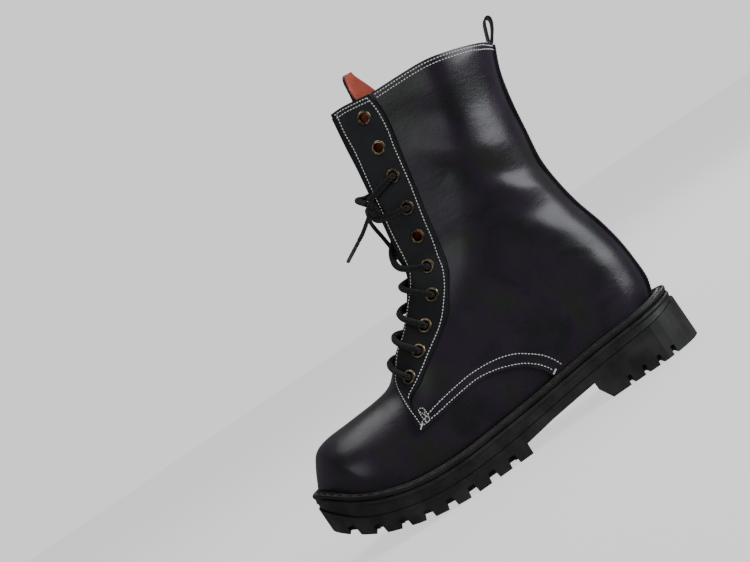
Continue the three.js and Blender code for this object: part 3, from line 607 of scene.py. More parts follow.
def suede(name, base, light, weave=2400):
    """Soft brushed lining or board: nap, slight soiling, fine fibres."""
    return from_noises(name, ((40, 5.0), (0.35, base), (0.7, light)), ((200, 3.0), (0.3, 0.72), (0.7, 0.92)),
                       ((weave, 3.0), 0.00012, 0.6),
                       Specular_IOR_Level=0.2, Sheen_Weight=0.25, Sheen_Roughness=0.6)


def tip_plastic():
    mark = (300, 4.0)
    tones = (0.4, (0.015, 0.015, 0.018)), (0.7, (0.05, 0.05, 0.06))
    return from_noises("tip_plastic", (mark, *tones), (mark, (0.35, 0.24), (0.7, 0.45)),
                       (mark, 0.0001, 0.4), Specular_IOR_Level=0.5)


def steel():
    brushed = (120, 4.0, (1, 12, 1))
    tones = (0.3, (0.34, 0.34, 0.35)), (0.7, (0.55, 0.55, 0.56))
    return from_noises("shank_metal", (brushed, *tones), (brushed, (0.3, 0.3), (0.7, 0.5)), Metallic=1.0)


upper_leather = polished_leather(
    "upper_leather", (0.006, 0.006, 0.008), (0.017, 0.008, 0.021), (0.012, 0.015, 0.009))
facing_leather = polished_leather(
    "facing_leather", (0.007, 0.007, 0.009), (0.010, 0.010, 0.011), (0.009, 0.010, 0.013),
    (0.38, 0.5), 0.22, 0.08)
red_lining = suede("red_lining", (0.30, 0.042, 0.022), (0.44, 0.085, 0.045))
sock_fabric = suede("sock_fabric", (0.045, 0.042, 0.04), (0.09, 0.085, 0.08))
board = suede("fibre_board", (0.2, 0.15, 0.1), (0.33, 0.26, 0.18), 900)
cork = suede("cork_filler", (0.22, 0.12, 0.06), (0.4, 0.25, 0.13), 700)
sole_rubber = rubber("sole_rubber", (0.008, 0.008, 0.008), (0.024, 0.023, 0.021))
welt_rubber = rubber("welt_rubber", (0.007, 0.007, 0.007), (0.018, 0.017, 0.015))
eyelet_brass = brass()
lace_yarn = braid()
white_thread = thread("white_thread", (0.72, 0.72, 0.70), (0.36, 0.36, 0.36))
welt_thread = thread("welt_thread", (0.11, 0.085, 0.035), (0.05, 0.036, 0.015))
lace_tip = tip_plastic()
shank_metal = steel()

LACE_RADIUS, LACED_RADIUS, KNOT_RADIUS = 1.7, 2.45, 2.2
AGLET_RADIUS, AGLET_LENGTH = 1.5, 18
CRIMP_RADIUS = AGLET_RADIUS * 0.93
REACH_IN_TIP = (4.5, 9, 13.5, 17)


def strands(radius, depth=0.16):
    """Radius of a braided lace: two crossing sets of raised strands."""
    def at(along, turn):
        one = np.sin(along * BRAID_TWIST + turn * BRAID_STRANDS)
        other = np.sin(along * BRAID_TWIST - turn * BRAID_STRANDS)
        return radius - depth + depth * np.maximum(one, other)
    return at


def path_length(path):
    return np.linalg.norm(np.diff(path, axis=0), axis=1).sum()


# ---------- free lace ends ----------

LACE_ENDS = {
    "lateral": [
        (0.7, -18, 211.9), (-0.7, -18.1, 211.1), (-2, -18.2, 210.2), (-3.3, -18.3, 209.3),
        (-4.6, -18.4, 208.4), (-5.8, -18.5, 207.5), (-7, -18.6, 206.6), (-8.2, -18.7, 205.7),
        (-9.4, -18.8, 204.9), (-10.6, -18.9, 204.1), (-11.8, -19, 203.3), (-13.1, -19.1, 202.6),
        (-14.4, -19.2, 201.9),
        (-15.7, -19.3, 201.2), (-17, -19.4, 200.5),
    ],
    "medial": [
        (3.6, -12.2, 217.2), (2.3, -9.4, 217), (1.3, -6.2, 216.3), (0.8, -2.6, 215.2), (0.5, 1.4, 213.8),
        (-0.2, 5.2, 211.9), (-0.8, 8.8, 209.8), (-1, 12.2, 207), (-0.8, 15.4, 203.8), (-0.4, 18.2, 200.2),
        (0.2, 20.6, 196.4), (0.7, 22.5, 192.4), (1.1, 23.9, 188.2), (1.4, 25, 184), (1.6, 25.9, 179.8),
    ],
}


def lace_end(side_name, route):
    """Free end of the lace; it runs on inside the crimped tip, which is a piece on it."""
    ahead = np.subtract(route[-1], route[-2])
    ahead /= np.linalg.norm(ahead)
    path = spline3([*route, *(np.add(route[-1], ahead * reach) for reach in REACH_IN_TIP)], 0.5)
    total = path_length(path)
    tip_start = total - REACH_IN_TIP[-1]

    def radius_at(along, turn):
        inside = ramp(along, tip_start - 1.2, tip_start)
        return mix(strands(LACE_RADIUS)(along, turn), AGLET_RADIUS * 0.8, inside)

    end = tube_mesh(f"lace_end_{side_name}_braid", path, radius_at, lace_yarn, 16)
    tip = lathe(f"lace_tip_{side_name}", [
        (0.5, 0.3), (CRIMP_RADIUS, 0.3), (AGLET_RADIUS, 0.7), (AGLET_RADIUS, 4), (CRIMP_RADIUS, 4.5),
        (CRIMP_RADIUS, 5), (AGLET_RADIUS, 5.5), (AGLET_RADIUS * 0.97, AGLET_LENGTH - 1.2),
        (AGLET_RADIUS * 0.8, AGLET_LENGTH - 0.3), (AGLET_RADIUS * 0.5, AGLET_LENGTH),
    ], route[-1], ahead, lace_tip, 24, closed=False)
    for piece, slot, node in ((end, "lace_fabric", "lace_end_"), (tip, "aglet_plastic", "aglet_")):
        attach(piece, "boot")
        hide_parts(node + side_name)


for end_name, end_route in LACE_ENDS.items():
    lace_end(end_name, end_route)


# ---------- upper panels ----------

# Each layer's near and far face, as distances from the outer face of the vamp.
VAMP_LAYER, VAMP_LINING_LAYER = (-1.5, 0), (-4.7, -3.8)
QUARTER_LAYER, FACING_LAYER, BACKSTAY_LAYER = (1.0, 2.2), (2.3, 4.0), (2.2, 4.4)
LINING_LAYER, GUSSET_LAYER = (-4.0, -3.2), (-6.9, -6.3)
TONGUE_LAYER, TONGUE_LINING_LAYER = (-8.9, -7.2), (-10.0, -8.9)
SIDE_SPLIT = 0.25
FACING_SHARE = 0.16
HOLE_RADIUS = 3.9
TOPLINE_RISE = 3.6
BACKSTAY_HALF = 8.5
BACKSTAY_FOOT, BACKSTAY_TOP = 46.0, 268.0
TONGUE_DEPTH = 30
TONGUE_LEAN, TONGUE_RISE = 17, 22
NEAR_DROP, FAR_DROP = 28, 13


def keep(piece, slot, *nodes, body="boot"):
    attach(piece, body)
    if nodes:
        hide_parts(*nodes)
    return piece


def lifted(points):
    return [(x, z + UPPER_LIFT) for x, z in points]


def toe_patch(rear):
    """Side-view patch of a toe piece in front of a rear edge, which runs from the sole up to the ridge."""
    feather_end, ridge_end = rear[0], rear[-1]
    top = Curve([*[p for p in RIDGE if p[0] < ridge_end[0] - 4], ridge_end])
    bottom = Curve(lifted([*[p for p in FEATHER[3:] if p[0] < feather_end[0] - 4], feather_end]))
    return patch(bottom, top, Curve(lifted(FEATHER[:4][::-1])), Curve(lifted(rear)))


def over_ridge(place, along, across):
    """Side-view places of a sheet that crosses the ridge: the share up is 1 at the ridge."""
    s, v = np.meshgrid(along, across * 2 - 1, indexing="ij")
    points = place(s, 1 - v * v)
    return points[..., 0], points[..., 1], np.where(v < 0, -1, 1)


# Folds of the shaft and ankle: [x, z] of both ends, half width, height (mm).
FOLDS = [
    ((62, 232), (118, 196), 9, 1.6), ((70, 205), (120, 172), 8, -1.5), ((90, 180), (128, 158), 7, 1.5),
    ((84, 160), (132, 138), 8, -1.3), ((96, 136), (136, 118), 8, 1.2), ((36, 150), (70, 122), 12, 0.8),
    ((34, 128), (76, 108), 10, -0.9), ((100, 112), (138, 92), 9, -0.9), ((64, 258), (120, 232), 12, -1.0),
    ((-10, 98), (30, 86), 9, 0.7), ((44, 96), (84, 76), 12, 0.6),
]


def shaft_folds(points, side):
    """Height of the soft folds, and a slow swell of the leather, along the normal."""
    x, z = points[..., 0], points[..., 2]
    height = np.zeros(x.shape)
    for (x0, z0), (x1, z1), half, depth in FOLDS:
        dx, dz = x1 - x0, z1 - z0
        share = np.clip(((x - x0) * dx + (z - z0) * dz) / (dx * dx + dz * dz), 0, 1)
        sag = 5 * np.sin(share * math.pi) * np.where(side < 0, 1, 0.6)
        away = np.hypot(x - x0 - share * dx, z - z0 - share * dz + sag)
        height += depth * np.exp(-(away / half) ** 2) * np.sin(np.clip(share * 0.8 + 0.15, 0, 1) * math.pi)
    swell = 0.45 * np.sin(x * 0.07 + z * 0.05) * np.sin(z * 0.06 - x * 0.03 + 1.0)
    free = ramp(z, 50, 80) * (1 - ramp(z, 262, 286)) * ramp(x, 30, 50)
    return (0.85 * height + swell) * free


def make_vamp():
    place = toe_patch(VAMP_REAR)
    vamp = leather_sheet(
        "vamp_leather", over_ridge(place, shares(90), shares(120)), VAMP_LAYER, upper_leather)
    keep(vamp, "upper_leather", "vamp")
    place = toe_patch(VAMP_LINING_REAR)
    lining = leather_sheet(
        "vamp_lining_cloth", over_ridge(place, shares(40), shares(60)), VAMP_LINING_LAYER, red_lining)
    keep(lining, "red_lining", "vamp_lining")


HEEL_FEATHER = Curve(lifted([(45.6, 34.8), (82, 38.8), (123, 41.5), (140.5, 43)]))
BACK_CURVE = Curve([(x, z + (UPPER_LIFT if i == 0 else 0)) for i, (x, z) in enumerate(BACK)])
FACING_PATCH = patch(
    Curve([FACING_FRONT[0], FACING_REAR[0]]), Curve([FACING_FRONT[-1], TOPLINE[1], (52.5, 286.4)]),
    Curve(FACING_FRONT), Curve(FACING_REAR))
REST_PATCH = patch(
    Joined(Curve([FACING_REAR[0], *SEAM[1:]]), HEEL_FEATHER), Curve([FACING_REAR[-1], *TOPLINE[3:]]),
    Curve(FACING_REAR), BACK_CURVE)
LINING_PATCH = patch(
    Joined(Curve(SEAM), HEEL_FEATHER), Curve([LINING_FRONT[-1], *TOPLINE[3:]]),
    Curve(LINING_FRONT), BACK_CURVE)


def crowded(share):
    return 1 - (1 - share) ** 2


def eyelet_frame(index, side):
    x, z = EYELETS[index]
    points, normals = surface(np.array([x]), np.array([z]), np.array([side]))
    return points[0], normals[0]


def bore_holes(obj, side, radius):
    """Cuts the ten eyelet holes through a panel."""
    bm = bmesh.new()
    for index in range(len(EYELETS)):
        centre, normal = eyelet_frame(index, side)
        turn = Vector((0, 0, 1)).rotation_difference(Vector(normal)).to_matrix().to_4x4()
        matrix = Matrix.Translation(Vector(metres(centre))) @ turn
        bmesh.ops.create_cone(bm, cap_ends=True, segments=28, radius1=radius * MM, radius2=radius * MM,
                              depth=0.022, matrix=matrix)
    mesh = bpy.data.meshes.new("holes")
    bm.to_mesh(mesh)
    bm.free()
    cutter = bpy.data.objects.new("holes", mesh)
    bpy.context.scene.collection.objects.link(cutter)
    cut = obj.modifiers.new("holes", "BOOLEAN")
    cut.object = cutter
    cut.operation = "DIFFERENCE"
    cut.solver = "EXACT"
    bpy.context.view_layer.update()
    evaluated = obj.evaluated_get(bpy.context.evaluated_depsgraph_get())
    finished = bpy.data.meshes.new_from_object(evaluated)
    obj.modifiers.remove(cut)
    obj.data = finished
    bpy.data.objects.remove(cutter)
    sharpen(obj, 60)


def side_sheet(name, place, side, layer, material, folds=None):
    places = (place[..., 0], place[..., 1], np.full(place.shape[:2], side))
    return leather_sheet(name, places, layer, material, SIDE_SPLIT, folds)


def make_quarter(side):
    name = SIDE_NAMES[side]
    across = np.concatenate([shares(14)[:-1] * FACING_SHARE, np.linspace(FACING_SHARE, 1, 84)])
    t, v = np.meshgrid(shares(130), across, indexing="ij")
    front = FACING_PATCH(np.clip(v / FACING_SHARE, 0, 1), t)
    rear = REST_PATCH(crowded(np.clip((v - FACING_SHARE) / (1 - FACING_SHARE), 0, 1)), t)
    place = np.where((v <= FACING_SHARE)[..., None], front, rear)
    quarter = side_sheet(f"quarter_{name}_leather", place, side, QUARTER_LAYER, upper_leather, shaft_folds)
    bore_holes(quarter, side, HOLE_RADIUS)
    keep(quarter, "upper_leather", f"quarter_{name}")


def make_facing(side):
    name = SIDE_NAMES[side]
    t, s = np.meshgrid(shares(150), shares(20, 0.012), indexing="ij")
    facing = side_sheet(f"facing_{name}_leather", FACING_PATCH(s, t), side, FACING_LAYER, facing_leather)
    bore_holes(facing, side, HOLE_RADIUS)
    keep(facing, "facing_leather", f"facing_{name}")


def make_lining(side):
    """Quarter lining; towards the topline it closes up to the leather."""
    name = SIDE_NAMES[side]
    t, v = np.meshgrid(shares(60), shares(40), indexing="ij")

    def to_topline(points, _side):
        return TOPLINE_RISE * ramp(t, 0.86, 0.99)

    place = LINING_PATCH(crowded(v), t)
    lining = side_sheet(f"lining_{name}_cloth", place, side, LINING_LAYER, red_lining, to_topline)
    keep(lining, "red_lining", f"lining_{name}")


def make_gusset(side):
    """Soft red fold between tongue and facing, seen through the empty eyelets."""
    name = SIDE_NAMES[side]
    t, s = np.meshgrid(mix(0.3, 0.985, shares(60)), mix(0.22, 1.0, shares(14, 0.012)), indexing="ij")
    keep(side_sheet(f"gusset_{name}_cloth", FACING_PATCH(s, t), side, GUSSET_LAYER, red_lining), "red_lining")


def make_eyelets(side):
    name = SIDE_NAMES[side]
    profile = [
        (3.5, 0.2), (3.5, 4.3), (3.6, 4.8), (3.95, 5.1), (4.5, 5.2), (5.2, 5.0), (5.7, 4.6), (5.9, 4.2),
        (5.75, 4.05), (3.85, 4.05), (3.8, 0.4), (4.5, 0.35), (4.7, 0.1), (4.4, -0.2), (3.6, -0.3),
    ]
    for index in range(len(EYELETS)):
        centre, normal = eyelet_frame(index, side)
        number = f"{index + 1:02d}"
        ring = lathe(f"eyelet_{name}_{number}_ring", profile, centre, normal, eyelet_brass)
        keep(ring, "eyelet_brass", f"eyelet_{name}_{number}")


def back_place(y, z):
    """Where the back line's surface has a given half width, found by halving."""
    low = np.interp(z, *back_table) - 12
    high = np.interp(z, *back_table)
    side = np.where(y < 0, -1, 1)
    for _ in range(30):
        middle = (low + high) / 2
        inside = width_squared(middle.ravel(), z.ravel(), side.ravel()).reshape(z.shape) > y * y
        low, high = np.where(inside, middle, low), np.where(inside, high, middle)
    return (low + high) / 2, side


def make_backstay():
    t, v = np.meshgrid(shares(90), shares(12, 0.03), indexing="ij")
    y, z = (v * 2 - 1) * BACKSTAY_HALF, mix(BACKSTAY_FOOT, BACKSTAY_TOP, t)
    x, side = back_place(y, z)
    strip = leather_sheet("backstay_leather", (x, z, side), BACKSTAY_LAYER, upper_leather)
    keep(strip, "upper_leather", "backstay")


def make_tongue():
    spine = Curve([(-46, 110), *[p for p in RIDGE if p[0] > -45]])
    for name, node, layer, trim, material, slot in (
            ("tongue_leather", "tongue", TONGUE_LAYER, 0, upper_leather, "upper_leather"),
            ("tongue_lining_cloth", "tongue_lining", TONGUE_LINING_LAYER, 0.6, red_lining, "red_lining")):
        t, v = np.meshgrid(shares(90), shares(40) * 2 - 1, indexing="ij")
        depth = (TONGUE_DEPTH - trim) * v * v * np.sqrt(1 - 0.75 * ramp(t, 0.86, 1) * v * v)
        place, ahead = spine.at(t), spine.tangent(t)
        x = place[..., 0] + ahead[..., 1] * depth
        z = place[..., 1] - ahead[..., 0] * depth
        tongue = leather_sheet(name, (x, z, np.where(v < 0, -1, 1)), layer, material)
        verts = tongue.data.vertices
        points = np.zeros(len(verts) * 3)
        verts.foreach_get("co", points)
        points = points.reshape(-1, 3)
        height = points[:, 2] / MM
        points[:, 0] += TONGUE_LEAN * MM * ramp(height, 205, 285)
        points[:, 2] += TONGUE_RISE * MM * ramp(height, 200, 292)
        near_side = 1 - ramp(points[:, 1] / MM, -4, 8)
        points[:, 2] -= NEAR_DROP * MM * near_side * ramp(height, 250, 292)
        points[:, 2] -= FAR_DROP * MM * ramp(points[:, 1] / MM, 8, 19) * ramp(height, 262, 292)
        verts.foreach_set("co", points.ravel())
        keep(tongue, slot, node, body="tongue")


# ---------- stitches ----------

STITCH_SIDES, STITCH_RINGS = 6, 5


def stitch_row(name, path, material, slot="lace_fabric", pitch=2.5, length=1.8, radius=0.36, body="boot"):
    """Row of thread stitches along a path of (point, normal) places, sunk at both ends."""
    places, normals = path
    along = np.concatenate([[0], np.cumsum(np.linalg.norm(np.diff(places, axis=0), axis=1))])
    turn = np.linspace(0, 2 * math.pi, STITCH_SIDES, endpoint=False)

    def read(rows, at):
        return np.array([np.interp(at, along, rows[:, axis]) for axis in range(3)])

    points, faces = [], []
    for middle in np.arange(pitch / 2, along[-1] - pitch / 4, pitch):
        start = len(points)
        for share in np.linspace(-0.5, 0.5, STITCH_RINGS):
            at = middle + share * length
            place, normal = read(places, at), read(normals, at)
            ahead = read(places, at + 0.4) - place
            ahead /= max(np.linalg.norm(ahead), 1e-6)
            across = np.cross(ahead, normal)
            thick = radius * (1 - (abs(share) * 1.7) ** 4)
            lift = radius * (0.75 - 20.8 * share ** 4)
            for angle in turn:
                raised = lift + math.sin(angle) * thick
                points.append(place + normal * raised + across * math.cos(angle) * thick)
        for i in range(STITCH_RINGS - 1):
            for j in range(STITCH_SIDES):
                a = start + i * STITCH_SIDES + j
                b = start + i * STITCH_SIDES + (j + 1) % STITCH_SIDES
                faces.append((a, b, b + STITCH_SIDES, a + STITCH_SIDES))
        last = start + (STITCH_RINGS - 1) * STITCH_SIDES
        faces.append(tuple(start + j for j in range(STITCH_SIDES)))
        faces.append(tuple(last + j for j in reversed(range(STITCH_SIDES))))
    row = new_object(name, np.array(points), faces, material)
    return keep(row, slot, body=body)


def on_surface(points, side, outwards, split=0.25, folds=None, count=160):
    """Places and normals along a smooth side-view line, at a distance from the vamp surface."""
    line = Curve(points).at(np.linspace(0, 1, count))
    places, normals = surface(line[:, 0], line[:, 1], np.full(count, side))
    wave = folds(places, np.full(count, side)) if folds else np.zeros(count)
    places[:, 1] += side * split
    return places + normals * (outwards + wave)[:, None], normals


FACING_FRONT_STITCH = [
    (24.6, 288), (22.3, 274.9), (20.4, 256), (17.4, 238.2), (15, 224.3), (12.7, 209.9), (10.3, 196.5),
    (8.3, 183.6), (6.4, 169.7), (4.2, 159.8), (-1, 150), (-8, 141.5), (-19, 129), (-27, 121), (-36, 114),
    (-44, 104.8), (-50, 96.5), (-53.2, 88), (-54.8, 77), (-54.8, 68.6), (-54.9, 61),
]
FACING_REAR_STITCH = [
    (49.5, 285.6), (50.6, 272.9), (49, 257.3), (46, 244.5), (43.2, 229.8), (39.8, 212), (36.2, 197),
    (33.2, 183.3), (30.8, 171), (27.4, 158.3), (24.6, 147.5), (18.9, 136.8), (12.2, 128), (4.2, 118.8),
    (-3.8, 112), (-12.8, 106.2), (-22, 100.4), (-30.6, 94.6), (-39.7, 88.7), (-48.4, 83.7), (-52.3, 80.2),
]
SEAM_LOWER_STITCH = [
    (-54, 61.2), (-39.3, 63.2), (-25.8, 65.4), (-13.3, 66.9), (-0.8, 67.6), (12.7, 65.4), (23.3, 61.9),
    (33, 57.3), (41.3, 50.7), (45.9, 44.9), (48.4, 40.2),
]
SEAM_UPPER_STITCH = [
    (-54.2, 63.4), (-39.4, 67.8), (-26.8, 70.4), (-14.3, 72.2), (-3.8, 73.1), (9.8, 72.4), (20.4, 70.6),
    (31.1, 66.9), (39.8, 61.2), (47.6, 54.6), (52.5, 47.9), (55.8, 41),
]


FACING_ROW, QUARTER_ROW, BACKSTAY_ROW = 4.0, 2.2, 4.4
TOPLINE_FRONT_STITCH = [(23, 291), (32, 290.5), (51, 286.8)]
FRONT_TACK = [
    (-50.5, 62.3), (-46.2, 70.8), (-50.2, 71.6), (-46.8, 62.8), (-50.5, 62.3), (-50.2, 71.6), (-46.2, 70.8),
    (-46.8, 62.8),
]
REAR_TACK = [(46.5, 38.2), (48.4, 39.3), (50.5, 40.6)]
POINT_TACK = [(-57, 59.6), (-54.8, 61.2), (-52.6, 62.8)]
BACKSTAY_STITCH = 6.6


def make_stitches(side):
    name = SIDE_NAMES[side]
    rows = [
        ("facing_front", FACING_FRONT_STITCH, FACING_ROW, None),
        ("facing_rear", FACING_REAR_STITCH, FACING_ROW, None),
        ("seam_lower", SEAM_LOWER_STITCH, QUARTER_ROW, shaft_folds),
        ("seam_upper", SEAM_UPPER_STITCH, QUARTER_ROW, shaft_folds),
    ]
    for row, line, outwards, folds in rows:
        path = on_surface(line, side, outwards, folds=folds, count=260)
        stitch_row(f"stitch_{row}_{name}", path, white_thread)
    for number, drop in ((1, 2.2), (2, 5.0)):
        on_facing = [(x, z - drop) for x, z in TOPLINE_FRONT_STITCH]
        path = on_surface(on_facing, side, FACING_ROW)
        stitch_row(f"stitch_topline_front_{number}_{name}", path, white_thread)
        behind = [(54.5, 286.2 - drop), *[(x - 2 * (x > 140), z - drop) for x, z in TOPLINE[3:]]]
        stitch_row(f"stitch_topline_{number}_{name}", on_surface(behind, side, QUARTER_ROW), white_thread)
    z = np.linspace(48, 266, 240)
    x, sides = back_place(np.full(240, side * BACKSTAY_STITCH), z)
    places, normals = surface(x, z, sides)
    path = (places + normals * BACKSTAY_ROW, normals)
    stitch_row(f"stitch_backstay_{name}", path, white_thread, radius=0.24)
    tacks = [
        ("front", FRONT_TACK, 2.3, 120, 2.0, 1.7, 0.24),
        ("rear", REAR_TACK, 2.4, 12, 1.2, 2.6, 0.7),
        ("point", POINT_TACK, 3.6, 12, 0.9, 2.4, 0.5),
    ]
    for tack, line, outwards, count, pitch, length, radius in tacks:
        path = on_surface(line, side, outwards, count=count)
        stitch_row(f"tack_{tack}_{name}", path, white_thread, pitch=pitch, length=length, radius=radius)


for panel_side in (LATERAL, MEDIAL):
    make_quarter(panel_side)
    make_facing(panel_side)
    make_lining(panel_side)
    make_eyelets(panel_side)
    make_gusset(panel_side)
    make_stitches(panel_side)
make_vamp()
make_backstay()
make_tongue()


# ---------- lace ----------

def surface_point(x, z, side, outwards):
    points, normals = surface(np.array([float(x)]), np.array([float(z)]), np.array([side]))
    return points[0] + normals[0] * outwards


def edge_place(share, side, depth, outwards):
    point, ahead = ridge.at(share), ridge.tangent(share)
    return surface_point(point[0] + ahead[1] * depth, point[1] - ahead[0] * depth, side, outwards)


def ridge_share(x, z):
    return np.hypot(ridge_track[:, 0] - x, ridge_track[:, 1] - z).argmin() / RIDGE_STEPS


def eyelet_place(index, side, outwards):
    centre, normal = eyelet_frame(index, side)
    return centre + normal * outwards


def crossing(start, end, side, front):
    low, high = ridge_share(*EYELETS[start]), ridge_share(*EYELETS[end])
    centre = edge_place(mix(low, high, 0.45), side, 0, front)
    centre[1] = centre_line(centre[0]) - side * 0.2
    return [
        edge_place(mix(low, high, 0.1), side, 5, 6.7), edge_place(mix(low, high, 0.25), side, 2, 5.4), centre,
        edge_place(mix(low, high, 0.68), -side, 3, -4.2), edge_place(mix(low, high, 0.8), -side, 9, -3.6),
        eyelet_place(end, -side, -4.2), eyelet_place(end, -side, 0), eyelet_place(end, -side, 7.8),
    ]


def strand(side, front):
    points = [eyelet_place(9, side, 0), eyelet_place(9, side, 7.8)]
    laced = [9, 8, 7, 6, 5, 3, 2]
    for start, end in zip(laced, laced[1:]):
        points.extend(crossing(start, end, side, front))
        side = -side
    return points


KNOT_CENTRE = np.array([5.5, -18, 214.2])


def make_lace():
    bar_middle = surface_point(-46, 110.4, 1, -3.6)
    bar_middle[1] = 0
    bar = [eyelet_place(9, -1, -4.2), surface_point(-42, 104, -1, -3.6), bar_middle,
           surface_point(-42, 104, 1, -3.6), eyelet_place(9, 1, -4.2)]
    above = ridge_share(KNOT_CENTRE[0], KNOT_CENTRE[2] + 11)
    over_front = [edge_place(above, 1, 5, 7.5), edge_place(above, -1, 0, 8.3)]
    route = [KNOT_CENTRE + (1.2, -1.0, 7.0), *strand(-1, 0.8)[::-1], *bar, *strand(1, -4.2), *over_front,
             KNOT_CENTRE + (-1.2, 3.2, 5.6)]
    lace = tube_mesh("lace_braid", spline3(route, 0.5), strands(LACED_RADIUS, 0.22), lace_yarn, 16)
    keep(lace, "lace_fabric", "lace")
    t = np.linspace(0, 2 * math.pi, 130)
    knot = np.stack([(np.cos(t) - 2 * np.cos(2 * t)) * 1.0, -np.sin(3 * t) * 1.5,
                     (np.sin(t) + 2 * np.sin(2 * t)) * 1.9], -1)
    braid = tube_mesh("lace_knot_braid", knot + KNOT_CENTRE, strands(KNOT_RADIUS, 0.2), lace_yarn, 16)
    keep(braid, "lace_fabric", "lace_knot")


# ---------- pull loop ----------

LOOP_LEAN = math.radians(24)
LOOP_FOOT = (154, 274.8)
LOOP_HALF_THICK = 0.8
LOOP_STEPS = 60


def make_pull_loop():
    """Strap folded over and flattened, from inside the backstay's top up, over and down again."""
    centre = np.array([(-1.9, -7), (-2.2, -2), (-2.5, 3), (-2.7, 8), (-2.1, 11.8), (0, 13.4), (2.1, 11.8),
                       (2.7, 8), (2.3, 3), (1.2, -2), (0.2, -7)])
    path = Curve(centre).at(np.linspace(0, 1, LOOP_STEPS))
    slope = np.gradient(path, axis=0)
    slope /= np.linalg.norm(slope, axis=1, keepdims=True)
    outwards = np.stack([-slope[:, 1], slope[:, 0]], -1)
    across = np.array([-8.5, -8.2, -7.2, -4, 0, 4, 7.2, 8.2, 8.5])
    drop = np.array([0.5, 0.15, 0, 0, 0, 0, 0, 0.15, 0.5])
    foot_x, foot_z = LOOP_FOOT
    grids = []
    for sign in (1, -1):
        grid = np.zeros((LOOP_STEPS, len(across), 3))
        for j, y in enumerate(across):
            place = path + outwards * sign * (LOOP_HALF_THICK - drop[j] * LOOP_HALF_THICK)
            grid[:, j, 0] = foot_x + place[:, 0] * math.cos(LOOP_LEAN) + place[:, 1] * math.sin(LOOP_LEAN)
            grid[:, j, 1] = y
            grid[:, j, 2] = foot_z - place[:, 0] * math.sin(LOOP_LEAN) + place[:, 1] * math.cos(LOOP_LEAN)
        grids.append(grid.reshape(-1, 3))
    faces = solid_faces(LOOP_STEPS, len(across))
    loop = new_object("pull_loop_strap", np.concatenate(grids), faces, upper_leather)
    sharpen(loop, 50)
    keep(loop, "upper_leather", "pull_loop", body="pull_loop")


# ---------- sole ----------

def outline(count=420):
    """Closed plan outline of the sole, [x, y] and inward normals, at even steps."""
    x = (TOE_REACH + HEEL_REACH) / 2 - (HEEL_REACH - TOE_REACH) / 2 * np.cos(np.linspace(0, math.pi, 400))
    loop = np.concatenate([np.stack([x, sole_edge(x, LATERAL)], -1),
                           np.stack([x[::-1], sole_edge(x[::-1], MEDIAL)], -1)[1:]])
    along = np.concatenate([[0], np.cumsum(np.hypot(*np.diff(loop, axis=0).T))])
    even = np.linspace(0, along[-1], count, endpoint=False)
    points = np.stack([np.interp(even, along, loop[:, i]) for i in (0, 1)], -1)
    for _ in range(3):
        points = (np.roll(points, 1, 0) + 2 * points + np.roll(points, -1, 0)) / 4
    slope = np.roll(points, -1, 0) - np.roll(points, 1, 0)
    slope /= np.linalg.norm(slope, axis=1, keepdims=True)
    return points, np.stack([-slope[:, 1], slope[:, 0]], -1)


OUTLINE, INWARDS = outline()


def ring_points(inset, height_of, lift):
    place = OUTLINE + INWARDS * inset
    return np.concatenate([place, (height_of(place[:, 0]) + lift)[:, None]], -1)


def swept_ring(name, profile, material, height_of):
    """Closed ring round the sole: profile rows are (inset, lift) or (inset, lift, other height function)."""
    rings = [ring_points(row[0], row[2] if len(row) > 2 else height_of, row[1]) for row in profile]
    count, sides = len(OUTLINE), len(profile)
    faces = [(i * count + j, i * count + (j + 1) % count, (i + 1) % sides * count + (j + 1) % count,
              (i + 1) % sides * count + j) for i in range(sides) for j in range(count)]
    ring = new_object(name, np.concatenate(rings), faces, material)
    sharpen(ring, 45)
    return ring


TOE_LEVEL_FROM = -148.5
WELT_SEAM_INSET, WELT_SEAM_LIFT = 4.55, -1.2


def rim_top(x):
    """Top of the welt, kept level round the toe's front."""
    return welt_top(np.maximum(x, TOE_LEVEL_FROM))


def make_welt():
    profile = [
        (18, -0.2), (9.4, -0.2), (8.6, 0.6), (7.4, 1.1), (6.3, 0.9), (5.5, 0.0), (5.2, -0.9), (4.5, -1.5),
        (3.9, -1.4), (3.4, -0.7), (2.6, -0.1), (1.8, -0.1), (1.1, -0.6), (0.9, -1.6), (1.2, -2.9),
        (1.9, -3.9), (2.6, -4.2), (18, -4.2),
    ]
    keep(swept_ring("storm_welt", profile, welt_rubber, rim_top), "welt_rubber", "welt")
    ring = ring_points(WELT_SEAM_INSET, rim_top, WELT_SEAM_LIFT)
    ring = np.concatenate([ring, ring[:1]])
    upright = np.tile([0.0, 0.0, 1.0], (len(ring), 1))
    stitch_row("welt_stitches", (ring, upright), welt_thread, "welt_rubber", pitch=9, length=7.4, radius=0.62)


def make_midsole():
    gap = 4.6
    profile = [
        (40, -gap, rim_top), (3.4, -gap, rim_top), (2.2, -gap - 0.2, rim_top), (1.2, -gap - 1.0, rim_top),
        (0.9, -gap - 2.1, rim_top), (1.3, -gap - 3.2, rim_top), (2.0, -gap - 3.9, rim_top),
        (1.9, -gap - 4.5, rim_top), (1.5, 0.6), (1.4, 0.0), (40, 0.0),
    ]
    rim = swept_ring("midsole_rim", profile, sole_rubber, wall_top)
    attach(rim, "boot")


